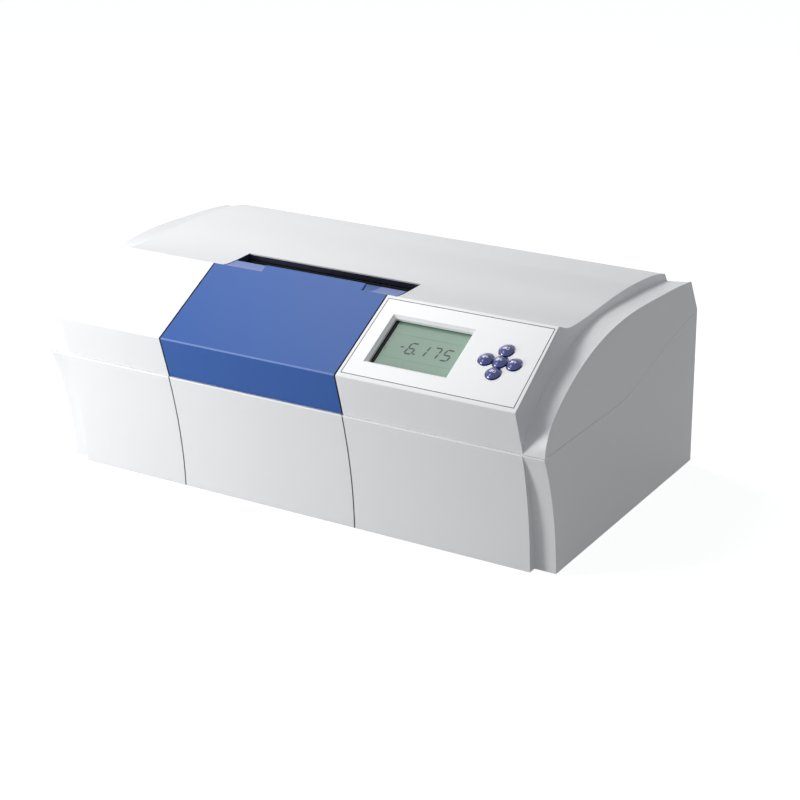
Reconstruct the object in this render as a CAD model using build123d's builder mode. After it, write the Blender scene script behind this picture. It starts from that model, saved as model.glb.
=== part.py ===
from build123d import *
import os
from math import atan2, cos, degrees, hypot, pi, radians, sin

# Automatic bench polarimeter. The frame stands at the middle of the footprint on the table: X runs
# along the optical axis, -Y is the operator's side and +Z is up. All sizes are in millimetres.

# ---- case -------------------------------------------------------------------------------------
case_length = 600.0        # over both end cheeks
case_depth = 362.3         # from the nose of the front panel to the back wall
foot_height = 4.0
foot_radius = 11.0
wall = 3.0                 # moulded case wall
shell_gap = 0.3            # hairline between the cover and the lower case
round_over = 1.2           # rounding of the folded front edges

seam_height = 131.3        # cover parting line at the front, over the case underside
nose_height = 177.4
seam_setback = 13.0        # the fascia leans forward from the seam to the nose
slant_run = 99.7           # operating slope, nose to crest
slant_rise = 53.5
brow_run = 12.0            # the crest breaks over to the hood
brow_drop = 5.0
dip_run = 35.3             # the hood dips behind the crest, swells and falls to the back
dip_drop = 8.0
swell_run = 124.3
swell_drop = 4.9
shoulder_setback = 63.0
shoulder_drop = 7.6
ridge_setback = 20.2
ridge_drop = 15.5
rear_split_height = 173.1  # parting line at the back wall
split_flat = 60.0          # the parting line stays level this far behind the crest

cheek_width = 23.5         # each end cheek at the seam; the middle body tapers upward from there
taper_nose = 1.9
taper_crest = 8.3
front_foot_setback = 30.5  # the lower front recedes from the nose
cheek_foot_setback = 40.3
lower_proud = 1.5          # the lower case stands proud of the fascia at the seam
groove_width = 1.2
groove_depth = 1.0
spline_spans = 12

front_y = -case_depth / 2
rear_y = case_depth / 2
base_z = foot_height
seam_y = front_y + seam_setback
seam_z = base_z + seam_height
nose_z = base_z + nose_height
crest_y = front_y + slant_run
crest_z = nose_z + slant_rise
rear_split_z = base_z + rear_split_height
cheek_half = case_length / 2
main_half_seam = cheek_half - cheek_width
main_half_nose = main_half_seam - taper_nose
main_half_crest = main_half_seam - taper_crest
slant_length = hypot(slant_run, slant_rise)
slant_angle = degrees(atan2(slant_rise, slant_run))
slant_up = (0, -sin(radians(slant_angle)), cos(radians(slant_angle)))
slant = Plane(origin=(0, front_y, nose_z), x_dir=(1, 0, 0), z_dir=slant_up)

# ---- sample lid -------------------------------------------------------------------------------
left_section = 159.5       # each end of the case to the middle of the gap beside the lid
right_section = 225.6
lid_left = left_section - cheek_half
lid_right = cheek_half - right_section
lid_gap = 1.2
lid_wall = 3.0
lid_side_depth = 10.0
lid_foot_gap = 0.8
lid_tail_run = 38.9        # the tails of the lid follow the dip this far behind the crest
tail_width = 48.4
tongue_left_inset = 60.8   # the middle of the lid runs on straight past the crest
tongue_right_inset = 30.8
tongue_left = lid_left + tongue_left_inset
tongue_right = lid_right - tongue_right_inset
tongue_reach = 9.8
slot_back_run = 65.5       # back edge of the slot in the hood, behind the crest
opening_flange = 7.0       # returns around the lid opening
hinge_run = 44.3           # hinge axis behind the crest and below it
hinge_drop = 21.0
hinge_pin_radius = 2.5
hinge_fit = 0.05
arm_thickness = 6.0
arm_inset = 14.0           # hinge arm, from the side of the lid
arm_boss_radius = 6.0
bracket_thickness = 4.0
bracket_gap = 0.5

# ---- operating panel --------------------------------------------------------------------------
panel_margin = 4.6         # frame around the inset panel
panel_gap = 0.5
panel_thickness = 3.0
panel_low = 6.0            # panel edges along the slope
panel_high = 109.0
panel_taper = 4.6          # the right edge follows the taper of the body
ledge_width = 4.0
window_setback = 23.1      # display window, from the gap beside the lid
window_length = 88.5
window_left = lid_right + window_setback
window_right = window_left + window_length
window_low = 27.5
window_high = 87.5
bevel = 3.0
window_land = 2.8
pad_margin = 5.0
key_setback = 38.5         # middle key, from the right edge of the panel
key_x = main_half_nose - panel_margin - key_setback
key_s = 56.2
key_pitch = 15.3
key_radius = 7.3
key_well_gap = 1.3
key_well_depth = 2.5
key_travel = 1.0
key_lift = 0.5             # skirt of the cap over the well floor when fully pressed
key_dome = 3.2
key_edge_height = 0.9      # side of the cap over the panel
stem_radius = 2.5
stem_fit = 0.15
collar_radius = 4.0
collar_height = 1.2
seat_gap = 0.3
switch_size = 6.0
switch_height = 3.5
board_thickness = 1.6
display_depth = 7.0

# ---- optics -----------------------------------------------------------------------------------
bench_end_gap = 32.0
bench_length = case_length - 2 * bench_end_gap
bench_width = 66.0
bench_drop = 85.4          # top of the bench under the nose
bench_top = nose_z - bench_drop
bench_web = 10.0
bench_flange = 24.0
bench_flange_wall = 8.0
axis_setback = 68.15       # optical axis behind the nose
axis_y = front_y + axis_setback
axis_height = 52.0         # optical axis over the bench
post_radius = 9.0
post_inset = 24.0
port_radius = 12.0
chamber_wall = 1.5
chamber_front = 24.2       # front wall of the sample chamber behind the nose
chamber_back_run = 21.0
tray_drop = 39.0           # the hinge tray behind the chamber, below the crest
cradle_end_gap = 7.05
cradle_half = 22.0
tube_radius = 15.0
gear_teeth = 60
pinion_teeth = 15
gear_module = 1.0
gear_width = 7.0
tooth_backlash = 0.12      # each flank stands back by this at the pitch line
hub_radius = 17.0
hub_bore = 9.0
bearing_fit = 0.08
analyzer_gap = 45.6        # analyzer house, from the gap beside the lid
analyzer_left = lid_right + analyzer_gap
gear_setback = 38.0
gear_x = analyzer_left + gear_setback
house_length = 34.0
house_half = 26.0

# ---- electrics --------------------------------------------------------------------------------
plate_thickness = 1.5      # steel base plate
rear_plate_inset = 50.0    # connector plate, from the left end
rear_plate_length = 210.0
rear_plate_left = rear_plate_inset - cheek_half
rear_plate_right = rear_plate_left + rear_plate_length
rear_plate_low = 22.0
rear_plate_high = 92.0
rear_plate_wall = 1.5
core_inset = 150.0         # transformer, from the left end and the back wall
core_setback = 81.15
core_x = core_inset - cheek_half
core_y = rear_y - core_setback
base_vent_shift = 40.0     # vents in the base plate, before the transformer
base_vent_count = 8
standoff_height = 8.0
standoff_radius = 3.0
screw_radius = 2.0
screw_head = 3.6
screw_head_height = 2.2


def hood_top():
    """Slope, dip, swell and fall of the cover, from the seam to the back parting line."""
    front = Polyline((seam_y, seam_z), (front_y, nose_z), (crest_y, crest_z), (crest_y + brow_run, crest_z - brow_drop))
    hood = Spline(
        front @ 1,
        (crest_y + dip_run, crest_z - dip_drop),
        (crest_y + swell_run, crest_z - swell_drop),
        (rear_y - shoulder_setback, crest_z - shoulder_drop),
        (rear_y - ridge_setback, crest_z - ridge_drop),
        tangents=[front % 1, (1, -0.3)],
    )
    return Line(hood @ 1, (rear_y, rear_split_z))


def parting_line(start):
    """S-shaped side parting line, from the back wall forward to the seam."""
    rise = rear_split_z - seam_z
    run = rear_y - crest_y - split_flat
    curve = Spline(
        start,
        (rear_y - 0.34 * run, seam_z + 0.72 * rise),
        (rear_y - 0.68 * run, seam_z + 0.24 * rise),
        (crest_y + split_flat, seam_z),
        tangents=[(-1, -0.12), (-1, 0)],
    )
    return curve


def cheek_arc(scoop):
    """Convex top edge of a cheek; scoop lowers it toward the middle body."""
    rise = nose_z - seam_z
    drop = [0.0, 3.3, 4.3, 5.5, 6.5, 6.0, 4.2, 3.9, 3.5, 3.5, 3.4]
    reach = [0.0, 2.8, 14.3, 35.3, 66.3, 106.3, 151.3, 196.3, 241.3, 286.3]
    lift = [0.0, 0.32, 0.69, 1.056, 1.425, 1.73, 1.902, 1.941, 1.898, 1.843]
    points = [(seam_y - 0.3 + r, seam_z + k * rise) for r, k in zip(reach, lift)]
    points.append((rear_y - ridge_setback + 0.9, crest_z - ridge_drop - 3.9))
    lowered = []
    for i, (y, z) in enumerate(points):
        before = points[max(i - 1, 0)]
        after = points[min(i + 1, len(points) - 1)]
        ty, tz = after[0] - before[0], after[1] - before[1]
        size = hypot(ty, tz)
        lowered.append((y + scoop * drop[i] * tz / size, z - scoop * drop[i] * ty / size))
    return Spline(*lowered)


def inset(outline, distance):
    """Outline shrunk by a distance, with each curved edge drawn again as one spline."""
    shrunk = offset(outline, amount=-distance, kind=Kind.INTERSECTION)
    edges = []
    for edge in shrunk.edges():
        if edge.geom_type == GeomType.LINE:
            edges.append(edge)
        else:
            points = [edge @ (i / spline_spans) for i in range(spline_spans + 1)]
            edges.append(Spline(points, tangents=[edge % 0, edge % 1]))
    return make_face(edges)


# ---- shared outlines --------------------------------------------------------------------------
with BuildSketch(Plane.YZ) as cover_profile:
    with BuildLine():
        back = hood_top()
        split = parting_line(back @ 1)
        Line(split @ 1, (seam_y, seam_z))
    make_face()
    fillet(cover_profile.vertices().group_by(Axis.X)[0], radius=round_over)

cover_hollow_outline = inset(cover_profile.sketch_local, wall)
with BuildSketch(Plane.YZ) as cover_hollow:
    add(cover_hollow_outline)

with BuildSketch(Plane.YZ) as below_split:
    with BuildLine():
        split = parting_line((rear_y, rear_split_z))
        Polyline(
            split @ 1,
            (front_y - wall, seam_z),
            (front_y - wall, base_z - wall),
            (rear_y + wall, base_z - wall),
            (rear_y + wall, rear_split_z),
            split @ 0,
        )
    make_face()

with BuildSketch(Plane.YZ) as lower_profile:
    with BuildLine():
        bow = Spline(
            (seam_y - lower_proud, seam_z),
            (front_y + front_foot_setback - 12.6, base_z + 0.8 * seam_height),
            (front_y + front_foot_setback - 3.5, base_z + 0.4 * seam_height),
            (front_y + front_foot_setback, base_z),
        )
        lower = Polyline(bow @ 1, (rear_y, base_z), (rear_y, rear_split_z))
        split = parting_line(lower @ 1)
        Line(split @ 1, bow @ 0)
    make_face()

with BuildSketch(Plane.YZ) as lower_cheek_profile:
    with BuildLine():
        bow = Spline(
            (seam_y - lower_proud, seam_z),
            (front_y + cheek_foot_setback - 15.0, base_z + 0.72 * seam_height),
            (front_y + cheek_foot_setback - 5.2, base_z + 0.4 * seam_height),
            (front_y + cheek_foot_setback, base_z),
        )
        lower = Polyline(bow @ 1, (rear_y, base_z), (rear_y, rear_split_z))
        split = parting_line(lower @ 1)
        Line(split @ 1, bow @ 0)
    make_face()

lower_hollow_outline = inset(lower_cheek_profile.sketch_local, wall)
with BuildSketch(Plane.YZ) as lower_hollow:
    add(lower_hollow_outline)

with BuildSketch(Plane.XZ) as body_taper:
    with BuildLine():
        Polyline(
            (-main_half_seam, seam_z - case_depth / 4),
            (-main_half_seam, seam_z),
            (-main_half_nose, nose_z),
            (-main_half_crest, crest_z),
            (-main_half_crest + wall, crest_z + wall * 8),
            (main_half_crest - wall, crest_z + wall * 8),
            (main_half_crest, crest_z),
            (main_half_nose, nose_z),
            (main_half_seam, seam_z),
            (main_half_seam, seam_z - case_depth / 4),
            close=True,
        )
    make_face()

with BuildSketch(Plane.XZ) as hollow_taper:
    add(body_taper.sketch_local)
    offset(amount=-wall, kind=Kind.INTERSECTION)

main_hollow_outline = inset(lower_profile.sketch_local, wall)
with BuildSketch(Plane.YZ) as main_hollow:
    add(main_hollow_outline)

open_hollows = []
for hollow, foot_setback in ((main_hollow, front_foot_setback), (lower_hollow, cheek_foot_setback)):
    inner_foot = front_y + foot_setback + wall
    inner_back = rear_y - wall
    with BuildSketch(Plane.YZ) as open_hollow:
        add(hollow.sketch_local)
        add(hollow.sketch_local.moved(Location((0, 4 * wall))))
        with Locations(((seam_y + wall + inner_back) / 2, seam_z)):
            Rectangle(inner_back - seam_y - wall, 4 * wall)
        with Locations(((inner_foot + inner_back) / 2, base_z)):
            Rectangle(inner_back - inner_foot, 4 * wall)
    open_hollows.append(open_hollow.sketch)

with BuildSketch(Plane.YZ) as groove_band:
    add(lower_profile.sketch_local)
    add(lower_profile.sketch_local.moved(Location((groove_depth, 0))), mode=Mode.SUBTRACT)
    with Locations((0, seam_z)):
        Rectangle(1.2 * case_depth, 2 * lower_proud, mode=Mode.SUBTRACT)
    with Locations((rear_y, base_z + rear_split_height / 2)):
        Rectangle(case_depth, 1.2 * rear_split_height, mode=Mode.SUBTRACT)

cheek_sections = []
for station, scoop in ((main_half_crest - 2 * wall, 1.0), (cheek_half - 15.0, 0.7), (cheek_half, 0.0)):
    with BuildSketch(Plane.YZ.offset(station)) as cheek_section:
        with BuildLine():
            arc = cheek_arc(scoop)
            Polyline(
                arc @ 1,
                (rear_y, rear_split_z + 2.0),
                (rear_y, seam_z - 10.0),
                (seam_y - 0.3, seam_z - 10.0),
                arc @ 0,
            )
        make_face()
    cheek_sections.append(cheek_section.sketch)

with BuildSketch(Plane.YZ) as cheek_outline:
    with BuildLine():
        arc = cheek_arc(1.0)
        Polyline(
            arc @ 1,
            (rear_y, rear_split_z + 2.0),
            (rear_y, seam_z - 10.0),
            (seam_y - 0.3, seam_z - 10.0),
            arc @ 0,
        )
    make_face()

cheek_hollow_outline = inset(cheek_outline.sketch_local, wall)
with BuildSketch(Plane.YZ) as cheek_hollow:
    add(cheek_hollow_outline)


def open_core(depth):
    """Inside of the cover at a given depth, left open downward at the seam."""
    sill = Pos(seam_y + depth, seam_z - depth) * Rectangle(case_depth / 2, 3 * depth, align=(Align.MIN, Align.MIN))
    return inset(cover_profile.sketch_local, depth) + sill


# ---- upper cover ------------------------------------------------------------------------------
lid_mid = (lid_left + lid_right) / 2
opening_width = lid_right - lid_left + lid_gap
slot_back_y = crest_y + slot_back_run
panel_left = lid_right + panel_margin
panel_right = main_half_nose - panel_margin

with BuildPart() as tapered_body:
    extrude(to_extrude=cover_profile.sketch, amount=main_half_seam, both=True)
    extrude(to_extrude=body_taper.sketch, amount=case_depth, both=True, mode=Mode.INTERSECT)

with BuildPart() as tapered_hollow:
    extrude(to_extrude=cover_hollow.sketch, amount=main_half_seam - wall, both=True)
    extrude(to_extrude=hollow_taper.sketch, amount=case_depth, both=True, mode=Mode.INTERSECT)

with BuildPart() as opening_block:
    with BuildSketch(Plane.XY.offset(seam_z - wall)):
        with Locations((lid_mid, (front_y - wall + slot_back_y) / 2)):
            Rectangle(opening_width, slot_back_y - front_y + wall)
    extrude(amount=crest_z)

with BuildPart() as flange_block:
    with BuildSketch(Plane.XY.offset(seam_z)):
        with Locations((lid_mid, (front_y + slot_back_y + wall) / 2)):
            Rectangle(opening_width + 2 * wall, slot_back_y + wall - front_y)
    extrude(amount=crest_z)

flange_core_outline = open_core(opening_flange)
with BuildSketch(Plane.YZ) as flange_core:
    add(flange_core_outline)

with BuildPart() as opening_returns:
    extrude(to_extrude=cover_profile.sketch, amount=main_half_seam, both=True)
    extrude(to_extrude=flange_core.sketch, amount=main_half_seam, both=True, mode=Mode.SUBTRACT)
    add(flange_block.part, mode=Mode.INTERSECT)

with BuildPart() as upper_cover:
    loft(cheek_sections)
    mirror(about=Plane.YZ)
    add(tapered_body.part)
    extrude(to_extrude=cheek_hollow.sketch, amount=cheek_half - wall, both=True, mode=Mode.SUBTRACT)
    add(tapered_hollow.part, mode=Mode.SUBTRACT)
    add(opening_returns.part)
    add(opening_block.part, mode=Mode.SUBTRACT)
    # opening and ledge for the inset operating panel
    with BuildSketch(slant.offset(-panel_thickness - ledge_width)):
        with BuildLine():
            Polyline(
                (lid_right + lid_gap / 2, panel_low - ledge_width),
                (panel_right + ledge_width, panel_low - ledge_width),
                (panel_right + ledge_width - panel_taper, panel_high + ledge_width / 2),
                (lid_right + lid_gap / 2, panel_high + ledge_width / 2),
                close=True,
            )
        make_face()
    extrude(amount=ledge_width + panel_thickness / 2)
    with BuildSketch(slant.offset(-panel_thickness)):
        with BuildLine():
            Polyline(
                (panel_left - panel_gap, panel_low - panel_gap),
                (panel_right + panel_gap, panel_low - panel_gap),
                (panel_right + panel_gap - panel_taper, panel_high + panel_gap),
                (panel_left - panel_gap, panel_high + panel_gap),
                close=True,
            )
        make_face()
    extrude(amount=2 * panel_thickness, mode=Mode.SUBTRACT)
    with BuildSketch(slant.offset(-panel_thickness)):
        with BuildLine():
            Polyline(
                (panel_left + ledge_width, panel_low + ledge_width),
                (panel_right - ledge_width, panel_low + ledge_width),
                (panel_right - ledge_width - panel_taper, panel_high - ledge_width),
                (panel_left + ledge_width, panel_high - ledge_width),
                close=True,
            )
        make_face()
    extrude(amount=-4 * ledge_width, mode=Mode.SUBTRACT)
    extrude(to_extrude=below_split.sketch.moved(Location((0, 0, shell_gap))), amount=cheek_half + wall,
            both=True, mode=Mode.SUBTRACT)
upper_cover.part.label = "upper_cover"

# ---- lower case -------------------------------------------------------------------------------
lug_size = 14.0
lug_height = 18.0
lug_x = cheek_half - wall - lug_size / 2
lug_front_y = front_y + cheek_foot_setback + wall + 1.5 * lug_size
lug_rear_y = rear_y - wall - 1.5 * lug_size
lug_spots = [(x, y) for x in (-lug_x, lug_x) for y in (lug_front_y, lug_rear_y)]
vent_inset = 150.0         # middle of the vents, from the right end
vent_mid = cheek_half - vent_inset
vent_pitch = 9.0
vent_count = 14
vent_height = 44.0
vent_width = 3.5
sink_depth = 1.8
rear_plate_centre = (rear_plate_low + rear_plate_high) / 2
rear_screw_spots = [
    (x, z)
    for x in (rear_plate_left + 4.0, rear_plate_right - 4.0)
    for z in (rear_plate_low + 4.0, rear_plate_high - 4.0)
]
rear_plate_mid = (rear_plate_left + rear_plate_right) / 2
rear_plate_width = rear_plate_right - rear_plate_left
rear_plate_rise = rear_plate_high - rear_plate_low
rear_margin = 8.0

with BuildPart() as lower_case:
    extrude(to_extrude=lower_cheek_profile.sketch, amount=cheek_half, both=True)
    extrude(to_extrude=lower_profile.sketch, amount=main_half_seam, both=True)
    # open box: walls only, the steel plate closes the underside
    extrude(to_extrude=open_hollows[0], amount=main_half_seam - wall, both=True, mode=Mode.SUBTRACT)
    extrude(to_extrude=open_hollows[1], amount=cheek_half - wall, both=True, mode=Mode.SUBTRACT)
    # thin vertical grooves under both edges of the lid
    extrude(to_extrude=groove_band.sketch.moved(Location((lid_left, 0, 0))), amount=groove_width / 2,
            both=True, mode=Mode.SUBTRACT)
    extrude(to_extrude=groove_band.sketch.moved(Location((lid_right, 0, 0))), amount=groove_width / 2,
            both=True, mode=Mode.SUBTRACT)
    # opening in the back wall; the connector plate closes it from inside
    with BuildSketch(Plane.XZ.offset(-rear_y)):
        with Locations((rear_plate_mid, rear_plate_centre)):
            Rectangle(rear_plate_width - 2 * rear_margin, rear_plate_rise - 2 * rear_margin)
        with Locations((vent_mid, rear_plate_centre)):
            with GridLocations(vent_pitch, 1, vent_count, 1):
                SlotOverall(vent_height, vent_width, rotation=90)
    extrude(amount=2 * wall, mode=Mode.SUBTRACT)
    with Locations(*[(x, rear_y, z) for x, z in rear_screw_spots]):
        Cylinder(screw_radius + seat_gap, 4 * wall, rotation=(90, 0, 0), mode=Mode.SUBTRACT)
        Cone(screw_radius + seat_gap, screw_head + seat_gap, sink_depth, rotation=(-90, 0, 0),
             align=(Align.CENTER, Align.CENTER, Align.MAX), mode=Mode.SUBTRACT)
    # corner lugs for the base plate
    with BuildSketch(Plane.XY.offset(base_z + plate_thickness)):
        with Locations(*lug_spots):
            Rectangle(lug_size, lug_size)
    extrude(amount=lug_height)
    with Locations(*[(x, y, base_z + plate_thickness) for x, y in lug_spots]):
        Cylinder(screw_radius, lug_height, align=(Align.CENTER, Align.CENTER, Align.MIN), mode=Mode.SUBTRACT)
lower_case.part.label = "lower_case"

# ---- base plate and feet ----------------------------------------------------------------------
plate_top = base_z + plate_thickness
plate_front = front_y + cheek_foot_setback + wall + seat_gap
plate_rear = rear_y - wall - seat_gap
plate_half = cheek_half - wall - seat_gap
plate_main_front = front_y + front_foot_setback + wall + seat_gap
plate_main_half = main_half_seam - wall - seat_gap
foot_inset_x = 22.0
foot_inset_y = 30.0
foot_spots = [
    (x, y)
    for x in (-plate_half + foot_inset_x, plate_half - foot_inset_x)
    for y in (plate_front + foot_inset_y, plate_rear - foot_inset_y)
]
stud_radius = 3.0
stud_cap = 4.5
stud_cap_height = 2.0

with BuildPart() as base_plate:
    with BuildSketch(Plane.XY.offset(base_z)):
        with Locations((0, (plate_front + plate_rear) / 2)):
            Rectangle(2 * plate_half, plate_rear - plate_front)
        with Locations((0, (plate_main_front + plate_rear) / 2)):
            Rectangle(2 * plate_main_half, plate_rear - plate_main_front)
        with Locations(*foot_spots):
            Circle(stud_radius + seat_gap, mode=Mode.SUBTRACT)
        with Locations(*lug_spots):
            Circle(screw_radius + seat_gap, mode=Mode.SUBTRACT)
        with Locations((core_x, core_y - base_vent_shift)):
            with GridLocations(vent_pitch, 1, base_vent_count, 1):
                SlotOverall(vent_height, vent_width, rotation=90, mode=Mode.SUBTRACT)
    extrude(amount=plate_thickness)
base_plate.part.label = "base_plate"

with BuildPart() as feet:
    with Locations(*[(x, y, 0) for x, y in foot_spots]):
        Cone(foot_radius - 1.0, foot_radius, foot_height, align=(Align.CENTER, Align.CENTER, Align.MIN))
        Cylinder(stud_radius, plate_top, align=(Align.CENTER, Align.CENTER, Align.MIN))
    with Locations(*[(x, y, plate_top) for x, y in foot_spots]):
        Cone(stud_cap, stud_radius, stud_cap_height, align=(Align.CENTER, Align.CENTER, Align.MIN))
feet.part.label = "rubber_feet"

with BuildPart() as base_screws:
    with Locations(*[(x, y, base_z) for x, y in lug_spots]):
        Cylinder(screw_radius, lug_height / 2, align=(Align.CENTER, Align.CENTER, Align.MIN))
        Cylinder(screw_head, screw_head_height, align=(Align.CENTER, Align.CENTER, Align.MAX))
base_screws.part.label = "base_plate_screws"

# ---- sample lid -------------------------------------------------------------------------------
hinge_y = crest_y + hinge_run
hinge_z = crest_z - hinge_drop
lid_width = lid_right - lid_left - lid_gap
lid_low_z = seam_z + lid_foot_gap
tail_end_y = crest_y + lid_tail_run

lid_core_outline = open_core(lid_wall)
with BuildSketch(Plane.YZ) as lid_core:
    add(lid_core_outline)

lid_side_outline = open_core(lid_side_depth)
with BuildSketch(Plane.YZ) as lid_side:
    add(lid_side_outline)

with BuildSketch(Plane.YZ) as lid_reach:
    with Locations(((front_y + tail_end_y) / 2, (lid_low_z + crest_z) / 2 + wall)):
        Rectangle(tail_end_y - front_y, crest_z - lid_low_z + 2 * wall)

with BuildSketch(Plane.YZ) as hinge_arm:
    with BuildLine():
        Polyline(
            (hinge_y, hinge_z - arm_boss_radius),
            (hinge_y + arm_boss_radius, hinge_z),
            (tail_end_y - 1.0, crest_z),
            (crest_y - 16.0, crest_z),
            (crest_y - 16.0, hinge_z + 4.0),
            close=True,
        )
    make_face()
    add(lid_core.sketch_local, mode=Mode.INTERSECT)
    with Locations((hinge_y, hinge_z)):
        Circle(arm_boss_radius)
        Circle(hinge_pin_radius + hinge_fit, mode=Mode.SUBTRACT)

with BuildPart() as sample_lid:
    extrude(to_extrude=cover_profile.sketch.moved(Location((lid_mid, 0, 0))), amount=lid_width / 2, both=True)
    extrude(to_extrude=lid_core.sketch.moved(Location((lid_mid, 0, 0))), amount=lid_width / 2 - lid_wall,
            both=True, mode=Mode.SUBTRACT)
    extrude(to_extrude=lid_side.sketch.moved(Location((lid_mid, 0, 0))), amount=lid_width, both=True,
            mode=Mode.SUBTRACT)
    extrude(to_extrude=lid_reach.sketch.moved(Location((lid_mid, 0, 0))), amount=lid_width, both=True,
            mode=Mode.INTERSECT)
    # between the two tails the lid stops at the crest
    with BuildSketch(Plane.XY.offset(seam_z)):
        with Locations((lid_mid, crest_y + lid_tail_run)):
            Rectangle(lid_width - 2 * tail_width, 2 * lid_tail_run)
    extrude(amount=crest_z, mode=Mode.SUBTRACT)
    # the tongue carries the slope straight on over the slot
    with BuildSketch(slant.offset(-lid_wall)):
        with Locations(((tongue_left + tongue_right) / 2, slant_length + tongue_reach / 2 - lid_wall)):
            Rectangle(tongue_right - tongue_left, tongue_reach + 2 * lid_wall)
    extrude(amount=lid_wall)
    for arm_x in (lid_left + arm_inset, lid_right - arm_inset - arm_thickness):
        extrude(to_extrude=hinge_arm.sketch.moved(Location((arm_x, 0, 0))), amount=arm_thickness)
sample_lid.part.label = "sample_lid"

# ---- sample chamber ---------------------------------------------------------------------------
chamber_left = lid_left - lid_gap / 2 - wall
chamber_right = lid_right + lid_gap / 2 + wall
chamber_mid = (chamber_left + chamber_right) / 2
chamber_width = chamber_right - chamber_left
chamber_front_y = front_y + chamber_front
chamber_back_y = crest_y + chamber_back_run
tray_z = crest_z - tray_drop
sill_z = seam_z - 2.0
sill_front_y = seam_y + wall + seat_gap
chamber_drop = 14.0
axis_z = bench_top + axis_height
tray_rim_z = crest_z - 15.5

with BuildSketch(Plane.YZ) as chamber_side:
    with BuildLine():
        Polyline(
            (chamber_front_y, bench_top),
            (chamber_front_y, nose_z + chamber_front * slant_rise / slant_run - chamber_drop),
            (crest_y, crest_z - chamber_drop),
            (chamber_back_y, tray_rim_z),
            (slot_back_y, tray_rim_z),
            (slot_back_y, tray_z - chamber_wall),
            (chamber_back_y, tray_z - chamber_wall),
            (chamber_back_y, bench_top),
            close=True,
        )
    make_face()

with BuildSketch(Plane.YZ) as chamber_inside:
    with BuildLine():
        Polyline(
            (chamber_front_y + chamber_wall, bench_top + chamber_wall),
            (chamber_front_y + chamber_wall, sill_z),
            (chamber_front_y - chamber_wall, sill_z),
            (chamber_front_y - chamber_wall, crest_z),
            (slot_back_y - chamber_wall, crest_z),
            (slot_back_y - chamber_wall, tray_z),
            (chamber_back_y - chamber_wall, tray_z),
            (chamber_back_y - chamber_wall, bench_top + chamber_wall),
            close=True,
        )
    make_face()

with BuildPart() as sample_chamber:
    extrude(to_extrude=chamber_side.sketch.moved(Location((chamber_mid, 0, 0))), amount=chamber_width / 2, both=True)
    extrude(to_extrude=chamber_inside.sketch.moved(Location((chamber_mid, 0, 0))),
            amount=chamber_width / 2 - chamber_wall, both=True, mode=Mode.SUBTRACT)
    # sill turned forward to the front wall of the lower case
    with BuildSketch(Plane.XY.offset(sill_z - chamber_wall)):
        with Locations((chamber_mid, (sill_front_y + chamber_front_y + chamber_wall) / 2)):
            Rectangle(chamber_width, chamber_front_y + chamber_wall - sill_front_y)
    extrude(amount=chamber_wall)
    with Locations((chamber_mid, axis_y, axis_z)):
        Cylinder(port_radius, 2 * chamber_width, rotation=(0, 90, 0), mode=Mode.SUBTRACT)
sample_chamber.part.label = "sample_chamber"

cradle_length = chamber_width - 2 * cradle_end_gap
vee_bottom = axis_z - tube_radius * 2 ** 0.5
vee_top = vee_bottom + tube_radius - 1.0

with BuildPart() as tube_cradle:
    with BuildSketch(Plane.YZ.offset(chamber_mid - cradle_length / 2)):
        with BuildLine():
            Polyline(
                (axis_y - cradle_half, bench_top + chamber_wall),
                (axis_y + cradle_half, bench_top + chamber_wall),
                (axis_y + cradle_half, bench_top + chamber_wall + 4.0),
                (axis_y + tube_radius + 3.0, bench_top + chamber_wall + 6.0),
                (axis_y + tube_radius + 3.0, vee_top),
                (axis_y + tube_radius - 1.0, vee_top),
                (axis_y, vee_bottom),
                (axis_y - tube_radius + 1.0, vee_top),
                (axis_y - tube_radius - 3.0, vee_top),
                (axis_y - tube_radius - 3.0, bench_top + chamber_wall + 6.0),
                (axis_y - cradle_half, bench_top + chamber_wall + 4.0),
                close=True,
            )
        make_face()
    extrude(amount=cradle_length)
tube_cradle.part.label = "tube_cradle"

port_ring = 5.0
port_depth = 9.0
window_thickness = 2.0

with BuildPart() as port_bushings:
    with Locations((chamber_left - port_depth / 2, axis_y, axis_z), (chamber_right + port_depth / 2, axis_y, axis_z)):
        Cylinder(port_radius + port_ring, port_depth, rotation=(0, 90, 0))
        Cylinder(port_radius - 1.0, 2 * port_depth, rotation=(0, 90, 0), mode=Mode.SUBTRACT)
port_bushings.part.label = "port_bushings"

with BuildPart() as port_windows:
    for window_x in (chamber_left - port_depth / 2, chamber_right + port_depth / 2):
        with Locations((window_x, axis_y, axis_z)):
            Cylinder(port_radius - 1.0, window_thickness, rotation=(0, 90, 0))
port_windows.part.label = "port_windows"

# ---- hinge ------------------------------------------------------------------------------------
bracket_reach = 7.5
hinge_foot_length = 12.0
hinge_foot_thickness = 2.0
left_bracket_x = lid_left + arm_inset + arm_thickness + bracket_gap
right_bracket_x = lid_right - arm_inset - arm_thickness - bracket_gap - bracket_thickness

with BuildSketch(Plane.YZ) as bracket_shape:
    with Locations((hinge_y, hinge_z)):
        Circle(bracket_reach)
    with Locations((hinge_y, (hinge_z + tray_z) / 2)):
        Rectangle(2 * bracket_reach, hinge_z - tray_z)
    with Locations((hinge_y, hinge_z)):
        Circle(hinge_pin_radius, mode=Mode.SUBTRACT)

with BuildPart() as hinge_brackets:
    for bracket_x in (left_bracket_x, right_bracket_x):
        extrude(to_extrude=bracket_shape.sketch.moved(Location((bracket_x, 0, 0))), amount=bracket_thickness)
    for foot_x in (left_bracket_x + bracket_thickness, right_bracket_x - hinge_foot_length):
        with BuildSketch(Plane.XY.offset(tray_z)):
            with Locations((foot_x + hinge_foot_length / 2, hinge_y)):
                Rectangle(hinge_foot_length, 2 * bracket_reach)
        extrude(amount=hinge_foot_thickness)
hinge_brackets.part.label = "hinge_brackets"

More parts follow.
